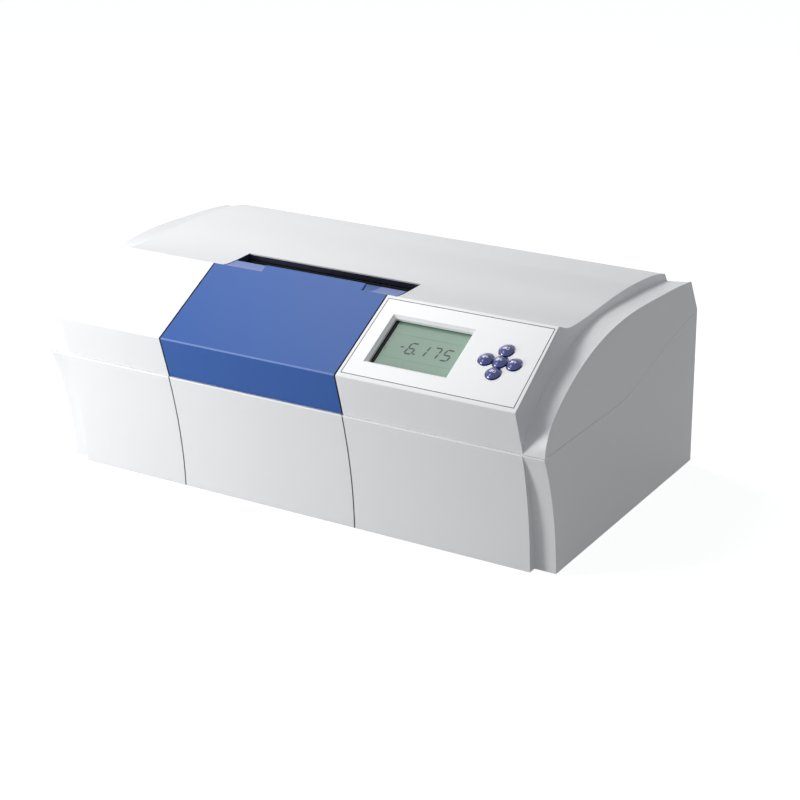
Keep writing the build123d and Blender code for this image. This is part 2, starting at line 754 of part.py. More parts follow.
pin_length = arm_thickness + bracket_gap + bracket_thickness
with BuildPart() as hinge_pins:
    for pin_x in (lid_left + arm_inset, right_bracket_x):
        with Locations((pin_x + pin_length / 2, hinge_y, hinge_z)):
            Cylinder(hinge_pin_radius, pin_length, rotation=(0, 90, 0))
hinge_pins.part.label = "hinge_pins"

with BuildPart() as hinge_screws:
    hinge_foot_mid = hinge_foot_length / 2
    for screw_x in (left_bracket_x + bracket_thickness + hinge_foot_mid, right_bracket_x - hinge_foot_mid):
        with Locations((screw_x, hinge_y, tray_z + hinge_foot_thickness)):
            Cylinder(screw_head, screw_head_height, align=(Align.CENTER, Align.CENTER, Align.MIN))
hinge_screws.part.label = "hinge_screws"

# ---- operating panel --------------------------------------------------------------------------
key_pad_half = key_pitch + key_radius + 3.0
key_pad_depth = key_well_depth + 3.0
window_depth = bevel + window_land
window_mid_x = (window_left + window_right) / 2
window_mid_s = (window_low + window_high) / 2
window_width = window_right - window_left
window_height = window_high - window_low
key_spots = {
    "key_up": (key_x, key_s + key_pitch),
    "key_left": (key_x - key_pitch, key_s),
    "key_centre": (key_x, key_s),
    "key_right": (key_x + key_pitch, key_s),
    "key_down": (key_x, key_s - key_pitch),
}

with BuildPart() as control_panel:
    with BuildSketch(slant.offset(-panel_thickness)):
        with BuildLine():
            Polyline(
                (panel_left, panel_low),
                (panel_right, panel_low),
                (panel_right - panel_taper, panel_high),
                (panel_left, panel_high),
                close=True,
            )
        make_face()
    extrude(amount=panel_thickness)
    # stiffened lands behind the display window and the keys
    with BuildSketch(slant.offset(-window_depth)):
        with Locations((window_mid_x, window_mid_s)):
            Rectangle(window_width + 2 * (bevel + pad_margin), window_height + 2 * (bevel + pad_margin))
    extrude(amount=window_depth - panel_thickness / 2)
    with BuildSketch(slant.offset(-key_pad_depth)):
        with Locations((key_x, key_s)):
            Rectangle(2 * key_pad_half, 2 * key_pad_half)
    extrude(amount=key_pad_depth - panel_thickness / 2)
    # bevelled display window
    with BuildSketch(slant):
        with Locations((window_mid_x, window_mid_s)):
            Rectangle(window_width + 2 * bevel, window_height + 2 * bevel)
    extrude(amount=-bevel, taper=45, mode=Mode.SUBTRACT)
    with BuildSketch(slant):
        with Locations((window_mid_x, window_mid_s)):
            Rectangle(window_width, window_height)
    extrude(amount=-2 * window_depth, mode=Mode.SUBTRACT)
    # round wells, run together, with a guide hole for each key
    with BuildSketch(slant):
        with Locations(*key_spots.values()):
            Circle(key_radius + key_well_gap)
    extrude(amount=-key_well_depth, mode=Mode.SUBTRACT)
    with BuildSketch(slant):
        with Locations(*key_spots.values()):
            Circle(stem_radius + stem_fit)
    extrude(amount=-2 * key_pad_depth, mode=Mode.SUBTRACT)
control_panel.part.label = "control_panel"

bezel_margin = 4.0
bezel_lip = 0.8
glass_margin = 2.0
glass_shift = 3.4          # the bezel shows at the left of the window
glass_thickness = 2.0

with BuildPart() as lcd_bezel:
    with BuildSketch(slant.offset(-window_depth)):
        with Locations((window_mid_x, window_mid_s)):
            Rectangle(window_width + 2 * bezel_margin, window_height + 2 * bezel_margin)
        with Locations((window_mid_x + glass_shift / 2, window_mid_s)):
            Rectangle(window_width - glass_shift, window_height, mode=Mode.SUBTRACT)
    extrude(amount=-bezel_lip)
    with BuildSketch(slant.offset(-window_depth - bezel_lip)):
        with Locations((window_mid_x, window_mid_s)):
            Rectangle(window_width + 2 * bezel_margin, window_height + 2 * bezel_margin)
            Rectangle(window_width + 2 * glass_margin, window_height + 2 * glass_margin, mode=Mode.SUBTRACT)
    extrude(amount=bezel_lip - display_depth)
lcd_bezel.part.label = "display_bezel"

with BuildPart() as lcd_glass:
    with BuildSketch(slant.offset(-window_depth - bezel_lip)):
        with Locations((window_mid_x, window_mid_s)):
            Rectangle(window_width + 2 * glass_margin - seat_gap, window_height + 2 * glass_margin - seat_gap)
    extrude(amount=-glass_thickness)
lcd_glass.part.label = "display_glass"

display_post_s = pad_margin + bevel + 4.0
display_floor = window_depth + display_depth
display_posts_at = [
    (x, s)
    for x in (window_left + 6.0, window_right - 6.0)
    for s in (window_low - display_post_s, window_high + display_post_s)
]
post_size = 2.5

with BuildPart() as display_board:
    with BuildSketch(slant.offset(-display_floor)):
        with Locations((window_mid_x, window_mid_s)):
            Rectangle(window_width + 2 * bezel_margin, window_height + 2 * (display_post_s + 4.0))
    extrude(amount=-board_thickness)
display_board.part.label = "display_board"

with BuildPart() as display_posts:
    with BuildSketch(slant.offset(-display_floor)):
        with Locations(*display_posts_at):
            Circle(post_size)
    extrude(amount=display_floor - panel_thickness)
display_posts.part.label = "display_posts"

# ---- keys -------------------------------------------------------------------------------------
key_skirt = key_lift + key_travel - key_well_depth
collar_top = -key_pad_depth - seat_gap
stem_end = collar_top - collar_height - 3.0
switch_top = stem_end - key_travel - seat_gap / 2
key_board_top = switch_top - switch_height
dome_radius = (key_radius ** 2 + key_dome ** 2) / (2 * key_dome)

with BuildSketch(Plane.XZ) as key_section:
    with BuildLine():
        rim = (key_radius, key_edge_height)
        top = (0, key_edge_height + key_dome)
        RadiusArc(top, rim, dome_radius)
        Polyline(
            rim,
            (key_radius, key_skirt),
            (stem_radius, key_skirt),
            (stem_radius, collar_top),
            (collar_radius, collar_top),
            (collar_radius, collar_top - collar_height),
            (stem_radius, collar_top - collar_height),
            (stem_radius, stem_end),
            (0, stem_end),
            top,
        )
    make_face()

key_caps = []
for key_name, (spot_x, spot_s) in key_spots.items():
    with BuildPart() as key_cap:
        revolve(key_section.sketch, axis=Axis.Z)
    cap = (slant.location * Location((spot_x, spot_s, 0))) * key_cap.part
    cap.label = key_name
    key_caps.append(cap)

with BuildPart() as key_board:
    with BuildSketch(slant.offset(key_board_top)):
        with Locations((key_x, key_s)):
            Rectangle(2 * key_pad_half, 2 * key_pad_half)
    extrude(amount=-board_thickness)
key_board.part.label = "key_board"

with BuildPart() as key_switches:
    with BuildSketch(slant.offset(key_board_top)):
        with Locations(*key_spots.values()):
            Rectangle(switch_size, switch_size)
    extrude(amount=switch_height)
key_switches.part.label = "key_switches"

with BuildPart() as key_posts:
    with BuildSketch(slant.offset(key_board_top)):
        with Locations((key_x, key_s)):
            with GridLocations(2 * key_pad_half - 8.0, 2 * key_pad_half - 8.0, 2, 2):
                Circle(post_size)
    extrude(amount=-key_board_top - key_pad_depth)
key_posts.part.label = "key_board_posts"

# ---- optical bench ----------------------------------------------------------------------------
with BuildPart() as optical_bench:
    with BuildSketch(Plane.YZ.offset(-bench_length / 2)):
        with BuildLine():
            Polyline(
                (axis_y - bench_width / 2, bench_top - bench_flange),
                (axis_y - bench_width / 2, bench_top),
                (axis_y + bench_width / 2, bench_top),
                (axis_y + bench_width / 2, bench_top - bench_flange),
                (axis_y + bench_width / 2 - bench_flange_wall, bench_top - bench_flange),
                (axis_y + bench_width / 2 - bench_flange_wall, bench_top - bench_web),
                (axis_y - bench_width / 2 + bench_flange_wall, bench_top - bench_web),
                (axis_y - bench_width / 2 + bench_flange_wall, bench_top - bench_flange),
                close=True,
            )
        make_face()
    extrude(amount=bench_length)
optical_bench.part.label = "optical_bench"

bench_post_spots = [
    (x, axis_y + y)
    for x in (-bench_length / 2 + post_inset, bench_length / 2 - post_inset)
    for y in (-post_radius - 4.0, post_radius + 4.0)
]
with BuildPart() as bench_posts:
    with Locations(*[(x, y, plate_top) for x, y in bench_post_spots]):
        Cylinder(post_radius, bench_top - bench_web - plate_top, align=(Align.CENTER, Align.CENTER, Align.MIN))
bench_posts.part.label = "bench_posts"

# ---- lamp and polarizer side ------------------------------------------------------------------
lamp_house_inset = 6.0
lamp_house_length = 66.0
lamp_house_left = -bench_length / 2 + lamp_house_inset
lamp_house_right = lamp_house_left + lamp_house_length
lamp_house_half = 30.0
lamp_house_height = 92.0
sheet = 1.2
lamp_x = (lamp_house_left + lamp_house_right) / 2
lamp_slot_pitch = 9.0

with BuildPart() as lamp_house:
    with Locations((lamp_x, axis_y, bench_top)):
        Box(lamp_house_right - lamp_house_left, 2 * lamp_house_half, lamp_house_height,
            align=(Align.CENTER, Align.CENTER, Align.MIN))
        Box(lamp_house_right - lamp_house_left - 2 * sheet, 2 * lamp_house_half - 2 * sheet,
            2 * (lamp_house_height - sheet), mode=Mode.SUBTRACT)
    with BuildSketch(Plane.XY.offset(bench_top + lamp_house_height)):
        with Locations((lamp_x, axis_y)):
            with GridLocations(lamp_slot_pitch, 1, 5, 1):
                SlotOverall(1.3 * lamp_house_half, vent_width, rotation=90)
    extrude(amount=-2 * sheet, mode=Mode.SUBTRACT)
    with Locations((lamp_house_right, axis_y, axis_z)):
        Cylinder(port_radius, 4 * sheet, rotation=(0, 90, 0), mode=Mode.SUBTRACT)
lamp_house.part.label = "lamp_house"

socket_radius = 13.0
socket_height = 20.0
with BuildPart() as lamp_socket:
    with Locations((lamp_x, axis_y, bench_top)):
        Cylinder(socket_radius + 4.0, 3.0, align=(Align.CENTER, Align.CENTER, Align.MIN))
        Cylinder(socket_radius, socket_height, align=(Align.CENTER, Align.CENTER, Align.MIN))
lamp_socket.part.label = "lamp_socket"

bulb_radius = 11.0
with BuildPart() as spectral_lamp:
    with Locations((lamp_x, axis_y, bench_top + socket_height)):
        Cylinder(bulb_radius, 2 * (axis_height - socket_height), align=(Align.CENTER, Align.CENTER, Align.MIN))
    fillet(spectral_lamp.faces().sort_by(Axis.Z)[-1].edges(), radius=0.9 * bulb_radius)
spectral_lamp.part.label = "spectral_lamp"

barrel_left = lamp_house_right + 2.0
barrel_right = chamber_left - port_depth - 2.0
barrel_bore = 13.0
barrel_wall = 3.0
saddle_half = 20.0
with BuildPart() as lens_barrel:
    with Locations((((barrel_left + barrel_right) / 2), axis_y, axis_z)):
        Cylinder(barrel_bore + barrel_wall, barrel_right - barrel_left, rotation=(0, 90, 0))
    with BuildSketch(Plane.YZ.offset(barrel_left + 6.0)):
        with Locations((axis_y, (axis_z + bench_top) / 2)):
            Trapezoid(2 * saddle_half, axis_height, 72)
    extrude(amount=barrel_right - barrel_left - 12.0)
    with Locations((((barrel_left + barrel_right) / 2), axis_y, axis_z)):
        Cylinder(barrel_bore, 2 * (barrel_right - barrel_left), rotation=(0, 90, 0), mode=Mode.SUBTRACT)
lens_barrel.part.label = "lens_barrel"

lens_edge = 3.0
lens_bulge = 2.5
lens_curve = (barrel_bore ** 2 + lens_bulge ** 2) / (2 * lens_bulge)
with BuildSketch(Plane.XZ) as lens_section:
    with BuildLine():
        RadiusArc((0, lens_edge + lens_bulge), (barrel_bore, lens_edge), lens_curve)
        Polyline((barrel_bore, lens_edge), (barrel_bore, 0), (0, 0), (0, lens_edge + lens_bulge))
    make_face()
with BuildPart() as condenser_lens:
    revolve(lens_section.sketch, axis=Axis.Z)
condenser = Pos(barrel_left + 3.0, axis_y, axis_z) * Rot(0, 90, 0) * condenser_lens.part
condenser.label = "condenser_lens"

with BuildPart() as colour_filter:
    with Locations((barrel_left + 16.0, axis_y, axis_z)):
        Cylinder(barrel_bore, 2.5, rotation=(0, 90, 0))
colour_filter.part.label = "colour_filter"

with BuildPart() as polarizer:
    with Locations((barrel_right - 11.0, axis_y, axis_z)):
        Cylinder(barrel_bore, 14.0, rotation=(0, 90, 0))
        Cylinder(0.5 * barrel_bore, 40.0, rotation=(0, 90, 0), mode=Mode.SUBTRACT)
polarizer.part.label = "polarizer_mount"

with BuildPart() as polarizer_prism:
    with Locations((barrel_right - 11.0, axis_y, axis_z)):
        Cylinder(0.5 * barrel_bore, 12.0, rotation=(0, 90, 0))
polarizer_prism.part.label = "polarizer_prism"

# ---- modulator, analyzer and detector side ----------------------------------------------------
coil_left = chamber_right + port_depth + 1.0
coil_length = 24.0
coil_radius = 20.0
bobbin_flange = 2.0
bobbin_tube = 12.0
bobbin_bore = 9.0
with BuildPart() as coil_bobbin:
    with Locations((coil_left + coil_length / 2, axis_y, axis_z)):
        Cylinder(bobbin_tube, coil_length, rotation=(0, 90, 0))
    with Locations(
        (coil_left + bobbin_flange / 2, axis_y, axis_z),
        (coil_left + coil_length - bobbin_flange / 2, axis_y, axis_z),
    ):
        Cylinder(coil_radius + 2.0, bobbin_flange, rotation=(0, 90, 0))
    with BuildSketch(Plane.YZ.offset(coil_left)):
        with Locations((axis_y, (axis_z - coil_radius + bench_top) / 2)):
            Rectangle(24.0, axis_height - coil_radius)
    extrude(amount=bobbin_flange)
    with BuildSketch(Plane.YZ.offset(coil_left + coil_length - bobbin_flange)):
        with Locations((axis_y, (axis_z - coil_radius + bench_top) / 2)):
            Rectangle(24.0, axis_height - coil_radius)
    extrude(amount=bobbin_flange)
    with Locations((coil_left + coil_length / 2, axis_y, axis_z)):
        Cylinder(bobbin_bore, 2 * coil_length, rotation=(0, 90, 0), mode=Mode.SUBTRACT)
coil_bobbin.part.label = "modulator_bobbin"

with BuildPart() as modulator_coil:
    with Locations((coil_left + coil_length / 2, axis_y, axis_z)):
        Cylinder(coil_radius, coil_length - 2 * bobbin_flange, rotation=(0, 90, 0))
        Cylinder(bobbin_tube, 2 * coil_length, rotation=(0, 90, 0), mode=Mode.SUBTRACT)
modulator_coil.part.label = "modulator_coil"

hub_flange = 4.0
hub_flange_radius = 20.0
end_play = 0.4
with BuildPart() as analyzer_house:
    with BuildSketch(Plane.YZ.offset(analyzer_left)):
        with Locations((axis_y, (axis_z + bench_top) / 2)):
            Rectangle(2 * house_half, axis_height)
        with Locations((axis_y, axis_z)):
            Circle(house_half)
            Circle(hub_radius + bearing_fit, mode=Mode.SUBTRACT)
    extrude(amount=house_length)
analyzer_house.part.label = "analyzer_house"


def tooth_ring(teeth, phase):
    """Outline of a gear with straight-flanked teeth that narrow toward the tip."""
    pitch = gear_module * teeth / 2
    outer = pitch + 0.95 * gear_module
    root = pitch - 1.25 * gear_module
    step = 2 * pi / teeth
    half = pi * gear_module / 4 - tooth_backlash
    points = []
    for i in range(teeth):
        middle = phase + i * step
        for radius, side in ((root, -1), (outer, -1), (outer, 1), (root, 1)):
            lean = half - side_slope * (radius - pitch)
            angle = middle + side * lean / radius
            points.append((radius * cos(angle), radius * sin(angle)))
    return points


side_slope = 0.42
gear_centre = gear_module * (gear_teeth + pinion_teeth) / 2
pinion_angle = 0.0
pinion_y = axis_y + gear_centre * cos(radians(pinion_angle))
pinion_z = axis_z + gear_centre * sin(radians(pinion_angle))
gear_phase = radians(pinion_angle) + pi / gear_teeth
pinion_phase = radians(pinion_angle + 180.0)

with BuildPart() as analyzer_wheel:
    with BuildSketch(Plane.YZ.offset(gear_x - gear_width / 2)):
        with BuildLine():
            Polyline(*tooth_ring(gear_teeth, gear_phase), close=True)
        make_face()
    extrude(amount=gear_width)
analyzer_gear = Pos(0, axis_y, axis_z) * analyzer_wheel.part
with BuildPart() as analyzer_rotor:
    add(analyzer_gear)
    with Locations(((analyzer_left - end_play + gear_x) / 2, axis_y, axis_z)):
        Cylinder(hub_radius, gear_x - analyzer_left + end_play, rotation=(0, 90, 0))
    with Locations((analyzer_left - end_play - hub_flange / 2, axis_y, axis_z)):
        Cylinder(hub_flange_radius, hub_flange, rotation=(0, 90, 0))
    with Locations((gear_x, axis_y, axis_z)):
        Cylinder(hub_bore, 4 * house_length, rotation=(0, 90, 0), mode=Mode.SUBTRACT)
analyzer_rotor.part.label = "analyzer_wheel"

prism_length = 22.0
with BuildPart() as analyzer_prism:
    with Locations((analyzer_left + house_length / 2, axis_y, axis_z)):
        Cylinder(hub_bore, prism_length, rotation=(0, 90, 0))
analyzer_prism.part.label = "analyzer_prism"

gear_clear = 5.0
bracket_foot = 12.0
motor_plate_x = gear_x + gear_width / 2 + gear_clear
motor_plate = 3.0
motor_radius = 14.0
motor_length = 40.0
shaft_radius = 2.0
bearing_nose = 5.0
bracket_shift = 12.0
bracket_rise = 72.0
with BuildPart() as motor_bracket:
    with BuildSketch(Plane.YZ.offset(motor_plate_x)):
        with Locations((axis_y + bracket_shift, bench_top + bracket_rise / 2)):
            Rectangle(bench_width + 2 * bracket_shift, bracket_rise)
        with Locations((axis_y, axis_z)):
            Circle(port_radius, mode=Mode.SUBTRACT)
        with Locations((pinion_y, pinion_z)):
            Circle(bearing_nose, mode=Mode.SUBTRACT)
    extrude(amount=motor_plate)
    with BuildSketch(Plane.XY.offset(bench_top)):
        with Locations((motor_plate_x + motor_plate + bracket_foot / 2, axis_y)):
            Rectangle(bracket_foot, bench_width)
    extrude(amount=motor_plate)
motor_bracket.part.label = "motor_bracket"

with BuildPart() as servo_motor:
    with Locations((motor_plate_x + motor_plate + motor_length / 2, pinion_y, pinion_z)):
        Cylinder(motor_radius, motor_length, rotation=(0, 90, 0))
    with Locations((motor_plate_x + motor_plate / 2, pinion_y, pinion_z)):
        Cylinder(bearing_nose, motor_plate, rotation=(0, 90, 0))
        Cylinder(shaft_radius + bearing_fit, 6 * motor_plate, rotation=(0, 90, 0), mode=Mode.SUBTRACT)
servo_motor.part.label = "servo_motor"

pinion_left = gear_x - gear_width / 2 - 1.0
with BuildPart() as pinion_teeth_ring:
    with BuildSketch(Plane.YZ.offset(pinion_left)):
        with BuildLine():
            Polyline(*tooth_ring(pinion_teeth, pinion_phase), close=True)
        make_face()
    extrude(amount=gear_width + 2.0)
pinion_ring = Pos(0, pinion_y, pinion_z) * pinion_teeth_ring.part
with BuildPart() as drive_pinion:
    add(pinion_ring)
    with Locations(((pinion_left + motor_plate_x + 2 * motor_plate) / 2, pinion_y, pinion_z)):
        Cylinder(shaft_radius, motor_plate_x + 2 * motor_plate - pinion_left, rotation=(0, 90, 0))
drive_pinion.part.label = "drive_pinion"

detector_inset = 4.0
detector_length = 42.0
detector_left = bench_length / 2 - detector_inset - detector_length
detector_half = 27.0
detector_height = 78.0
detector_wall = 2.0
with BuildPart() as detector_house:
    with Locations((detector_left + detector_length / 2, axis_y, bench_top)):
        Box(detector_length, 2 * detector_half, detector_height, align=(Align.CENTER, Align.CENTER, Align.MIN))
        Box(detector_length - 2 * detector_wall, 2 * (detector_half - detector_wall),
            2 * (detector_height - detector_wall), mode=Mode.SUBTRACT)
    with Locations((detector_left, axis_y, axis_z)):
        Cylinder(hub_bore, 4 * detector_wall, rotation=(0, 90, 0), mode=Mode.SUBTRACT)
detector_house.part.label = "detector_house"

tube_base_radius = 16.0
tube_base_height = 14.0
photo_tube_radius = 13.0
photo_tube_gap = 12.0      # top of the tube under the top of its house
with BuildPart() as photomultiplier:
    with Locations((detector_left + detector_length / 2, axis_y, bench_top)):
        Cylinder(tube_base_radius, tube_base_height, align=(Align.CENTER, Align.CENTER, Align.MIN))
        Cylinder(photo_tube_radius, detector_height - photo_tube_gap, align=(Align.CENTER, Align.CENTER, Align.MIN))
photomultiplier.part.label = "photomultiplier"

# ---- electronics ------------------------------------------------------------------------------
board_inset = 50.0         # main board, from the right end and the back wall
board_setback = 41.15
board_length = 220.0
board_width = 160.0
board_edge = 8.0           # standoffs from the edges of the board
board_right = cheek_half - board_inset
board_left = board_right - board_length
board_back = rear_y - board_setback
board_front = board_back - board_width
chip_inset = 60.0
chip_pitch = 34.0
chip_row_pitch = 44.0
chip_length = 18.0
chip_width = 26.0
chip_height = 3.0
capacitor_inset = 30.0
capacitor_pitch = 26.0
capacitor_row_pitch = 30.0
capacitor_radius = 8.0
capacitor_height = 24.0
board_mid_x = (board_left + board_right) / 2
board_mid_y = (board_front + board_back) / 2
board_z = plate_top + standoff_height

with BuildPart() as board_standoffs:
    with Locations((board_mid_x, board_mid_y, plate_top)):
        with GridLocations(board_length - 2 * board_edge, board_width - 2 * board_edge, 2, 2):
            Cylinder(standoff_radius, standoff_height, align=(Align.CENTER, Align.CENTER, Align.MIN))
board_standoffs.part.label = "board_standoffs"

with BuildPart() as main_board:
    with BuildSketch(Plane.XY.offset(board_z)):
        with Locations((board_mid_x, board_mid_y)):
            Rectangle(board_length, board_width)
    extrude(amount=board_thickness)
main_board.part.label = "main_board"

chip_z = board_z + board_thickness
with BuildPart() as board_chips:
    with BuildSketch(Plane.XY.offset(chip_z)):
        with Locations((board_left + chip_inset, board_mid_y)):
            with GridLocations(chip_pitch, chip_row_pitch, 3, 3):
                Rectangle(chip_length, chip_width)
    extrude(amount=chip_height)
board_chips.part.label = "board_chips"

with BuildPart() as board_capacitors:
    with Locations((board_right - capacitor_inset, board_mid_y, chip_z)):
        with GridLocations(capacitor_pitch, capacitor_row_pitch, 2, 3):
            Cylinder(capacitor_radius, capacitor_height, align=(Align.CENTER, Align.CENTER, Align.MIN))
board_capacitors.part.label = "board_capacitors"

core_width = 66.0
core_depth = 34.0
core_height = 55.0
with BuildPart() as transformer_core:
    with Locations((core_x, core_y, plate_top)):
        Box(core_width, core_depth, core_height, align=(Align.CENTER, Align.CENTER, Align.MIN))
    with BuildSketch(Plane.XZ.offset(-core_y - core_depth)):
        with Locations((core_x, plate_top + core_height / 2)):
            with GridLocations(core_width / 2, 1, 2, 1):
                Rectangle(core_width / 6, core_height - core_width / 3)
    extrude(amount=3 * core_depth, mode=Mode.SUBTRACT)
transformer_core.part.label = "transformer_core"

winding_gap = 0.5
with BuildPart() as transformer_winding:
    with Locations((core_x, core_y, plate_top + core_height / 2)):
        Box(core_width * 2 / 3 - 2 * winding_gap, core_depth + 16.0, core_height - core_width / 3 - 2 * winding_gap)
        Box(core_width / 3 + 2 * winding_gap, core_depth + 2 * winding_gap, core_height, mode=Mode.SUBTRACT)
transformer_winding.part.label = "transformer_winding"

# ---- connector plate at the back --------------------------------------------------------------
plate_face_y = rear_y - wall
inlet_x = rear_plate_left + 40.0
inlet_width = 28.0
inlet_height = 20.0
inlet_depth = 20.0
fuse_x = inlet_x + 38.0
fuse_radius = 6.0
switch_x = fuse_x + 30.0
rocker_width = 13.0
rocker_height = 19.0
rocker_frame = 2.0
serial_x = switch_x + 50.0
serial_width = 31.0
serial_height = 12.5
flange_thickness = 2.0

with BuildPart() as rear_panel:
    with BuildSketch(Plane.XZ.offset(-plate_face_y)):
        with Locations((rear_plate_mid, rear_plate_centre)):
            Rectangle(rear_plate_width, rear_plate_rise)
        with Locations((inlet_x, rear_plate_centre)):
            Rectangle(inlet_width, inlet_height, mode=Mode.SUBTRACT)
        with Locations((fuse_x, rear_plate_centre)):
            Circle(fuse_radius, mode=Mode.SUBTRACT)
        with Locations((switch_x, rear_plate_centre)):
            Rectangle(rocker_width + 2 * rocker_frame, rocker_height + 2 * rocker_frame, mode=Mode.SUBTRACT)
        with Locations((serial_x, rear_plate_centre)):
            Rectangle(serial_width - 12.0, serial_height - 3.0, mode=Mode.SUBTRACT)
        with Locations(*rear_screw_spots):
            Circle(screw_radius, mode=Mode.SUBTRACT)
    extrude(amount=rear_plate_wall)
rear_panel.part.label = "rear_panel"

with BuildPart() as rear_screws:
    with Locations(*[(x, rear_y, z) for x, z in rear_screw_spots]):
        Cone(screw_radius, screw_head, sink_depth, rotation=(-90, 0, 0), align=(Align.CENTER, Align.CENTER, Align.MAX))
        Cylinder(screw_radius, 2 * wall + rear_plate_wall, rotation=(-90, 0, 0),
                 align=(Align.CENTER, Align.CENTER, Align.MAX))
rear_screws.part.label = "rear_panel_screws"

with BuildPart() as power_inlet:
    with BuildSketch(Plane.XZ.offset(-plate_face_y)):
        with Locations((inlet_x, rear_plate_centre)):
            RectangleRounded(inlet_width + 8.0, inlet_height + 5.0, 3.0)
    extrude(amount=-flange_thickness)
    with BuildSketch(Plane.XZ.offset(-plate_face_y)):
        with Locations((inlet_x, rear_plate_centre)):
            Rectangle(inlet_width, inlet_height)
    extrude(amount=inlet_depth)
    with BuildSketch(Plane.XZ.offset(-plate_face_y - flange_thickness)):
        with Locations((inlet_x, rear_plate_centre)):
            Rectangle(inlet_width - 4.0, inlet_height - 4.0)
    extrude(amount=inlet_depth - 4.0, mode=Mode.SUBTRACT)
    with BuildSketch(Plane.XZ.offset(-plate_face_y)):
        with Locations((inlet_x, rear_plate_centre)):
            with GridLocations(7.0, 1, 3, 1):
                Rectangle(2.0, 4.5)
    extrude(amount=inlet_depth - 4.0)
power_inlet.part.label = "power_inlet"

with BuildPart() as fuse_holder:
    with Locations((fuse_x, plate_face_y, rear_plate_centre)):
        Cylinder(fuse_radius + 2.0, flange_thickness, rotation=(-90, 0, 0), align=(Align.CENTER, Align.CENTER, Align.MIN))
        Cylinder(fuse_radius, 30.0, rotation=(-90, 0, 0), align=(Align.CENTER, Align.CENTER, Align.MAX))
fuse_holder.part.label = "fuse_holder"

rocker_depth = 8.0
rocker_gap = 0.4
rocker_swing = 14.0
with BuildPart() as switch_frame:
    with BuildSketch(Plane.XZ.offset(-plate_face_y)):
        with Locations((switch_x, rear_plate_centre)):
            Rectangle(rocker_width + 4 * rocker_frame, rocker_height + 4 * rocker_frame)
    extrude(amount=-flange_thickness)
    with BuildSketch(Plane.XZ.offset(-plate_face_y)):
        with Locations((switch_x, rear_plate_centre)):
            Rectangle(rocker_width + 2 * rocker_frame, rocker_height + 2 * rocker_frame)
    extrude(amount=inlet_depth)
    with BuildSketch(Plane.XZ.offset(-plate_face_y - flange_thickness)):
        with Locations((switch_x, rear_plate_centre)):
            Rectangle(rocker_width + 2 * rocker_gap, rocker_height + 4 * rocker_gap)
    extrude(amount=rocker_depth + 6.0, mode=Mode.SUBTRACT)
    with Locations((switch_x, plate_face_y - rocker_depth / 2, rear_plate_centre)):
        Cylinder(1.5, rocker_width + 2 * rocker_frame, rotation=(0, 90, 0))
switch_frame.part.label = "switch_frame"

# the rocker is a shallow vee: one half stands proud while the other lies level with the frame
pivot_y = plate_face_y - rocker_depth / 2
rocker_tilt = rocker_swing / 2
with BuildPart() as power_rocker:
    with BuildSketch(Plane.YZ.offset(switch_x - rocker_width / 2)):
        with BuildLine():
            Polyline(
                (pivot_y + 4.6, rear_plate_centre),
                (pivot_y + 5.2, rear_plate_centre + rocker_height / 2 - 0.6),
                (pivot_y - 1.0, rear_plate_centre + rocker_height / 2 - 0.6),
                (pivot_y - 3.0, rear_plate_centre + 3.0),
                (pivot_y - 3.0, rear_plate_centre - 3.0),
                (pivot_y - 1.0, rear_plate_centre - rocker_height / 2 + 0.6),
                (pivot_y + 5.2, rear_plate_centre - rocker_height / 2 + 0.6),
                close=True,
            )
        make_face()
        with Locations((pivot_y, rear_plate_centre)):
            Circle(1.5 + hinge_fit, mode=Mode.SUBTRACT)
    extrude(amount=rocker_width)
pivot = Location((0, pivot_y, rear_plate_centre))
rocker = pivot * Rot(rocker_tilt, 0, 0) * pivot.inverse() * power_rocker.part
rocker.label = "power_rocker"

with BuildPart() as serial_socket:
    with BuildSketch(Plane.XZ.offset(-plate_face_y)):
        with Locations((serial_x, rear_plate_centre)):
            RectangleRounded(serial_width, serial_height, 2.0)
    extrude(amount=-1.0)
    with BuildSketch(Plane.XZ.offset(-plate_face_y - flange_thickness)):
        with Locations((serial_x, rear_plate_centre)):
            Rectangle(serial_width - 13.0, serial_height - 4.0)
    extrude(amount=inlet_depth / 2)
serial_socket.part.label = "serial_socket"

# ---- export -----------------------------------------------------------------------------------
pieces = [
    upper_cover.part, lower_case.part, base_plate.part, feet.part, base_screws.part, sample_lid.part,
    sample_chamber.part, tube_cradle.part, port_bushings.part, port_windows.part, hinge_brackets.part,
    hinge_pins.part, hinge_screws.part, control_panel.part, lcd_bezel.part, lcd_glass.part,
    display_board.part, display_posts.part, key_board.part, key_switches.part, key_posts.part,
    optical_bench.part, bench_posts.part, lamp_house.part, lamp_socket.part, spectral_lamp.part,
    lens_barrel.part, condenser, colour_filter.part, polarizer.part, polarizer_prism.part,
    coil_bobbin.part, modulator_coil.part, analyzer_house.part, analyzer_rotor.part, analyzer_prism.part,
    motor_bracket.part, servo_motor.part, drive_pinion.part, detector_house.part, photomultiplier.part,
    board_standoffs.part, main_board.part, board_chips.part, board_capacitors.part,
    transformer_core.part, transformer_winding.part, rear_panel.part, rear_screws.part,
    power_inlet.part, fuse_holder.part, switch_frame.part, rocker, serial_socket.part,
] + key_caps

os.makedirs("parts", exist_ok=True)
for piece in pieces:
    export_step(piece, f"parts/{piece.label}.step")
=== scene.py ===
import math

import bpy
import numpy as np
from mathutils import Matrix, Vector


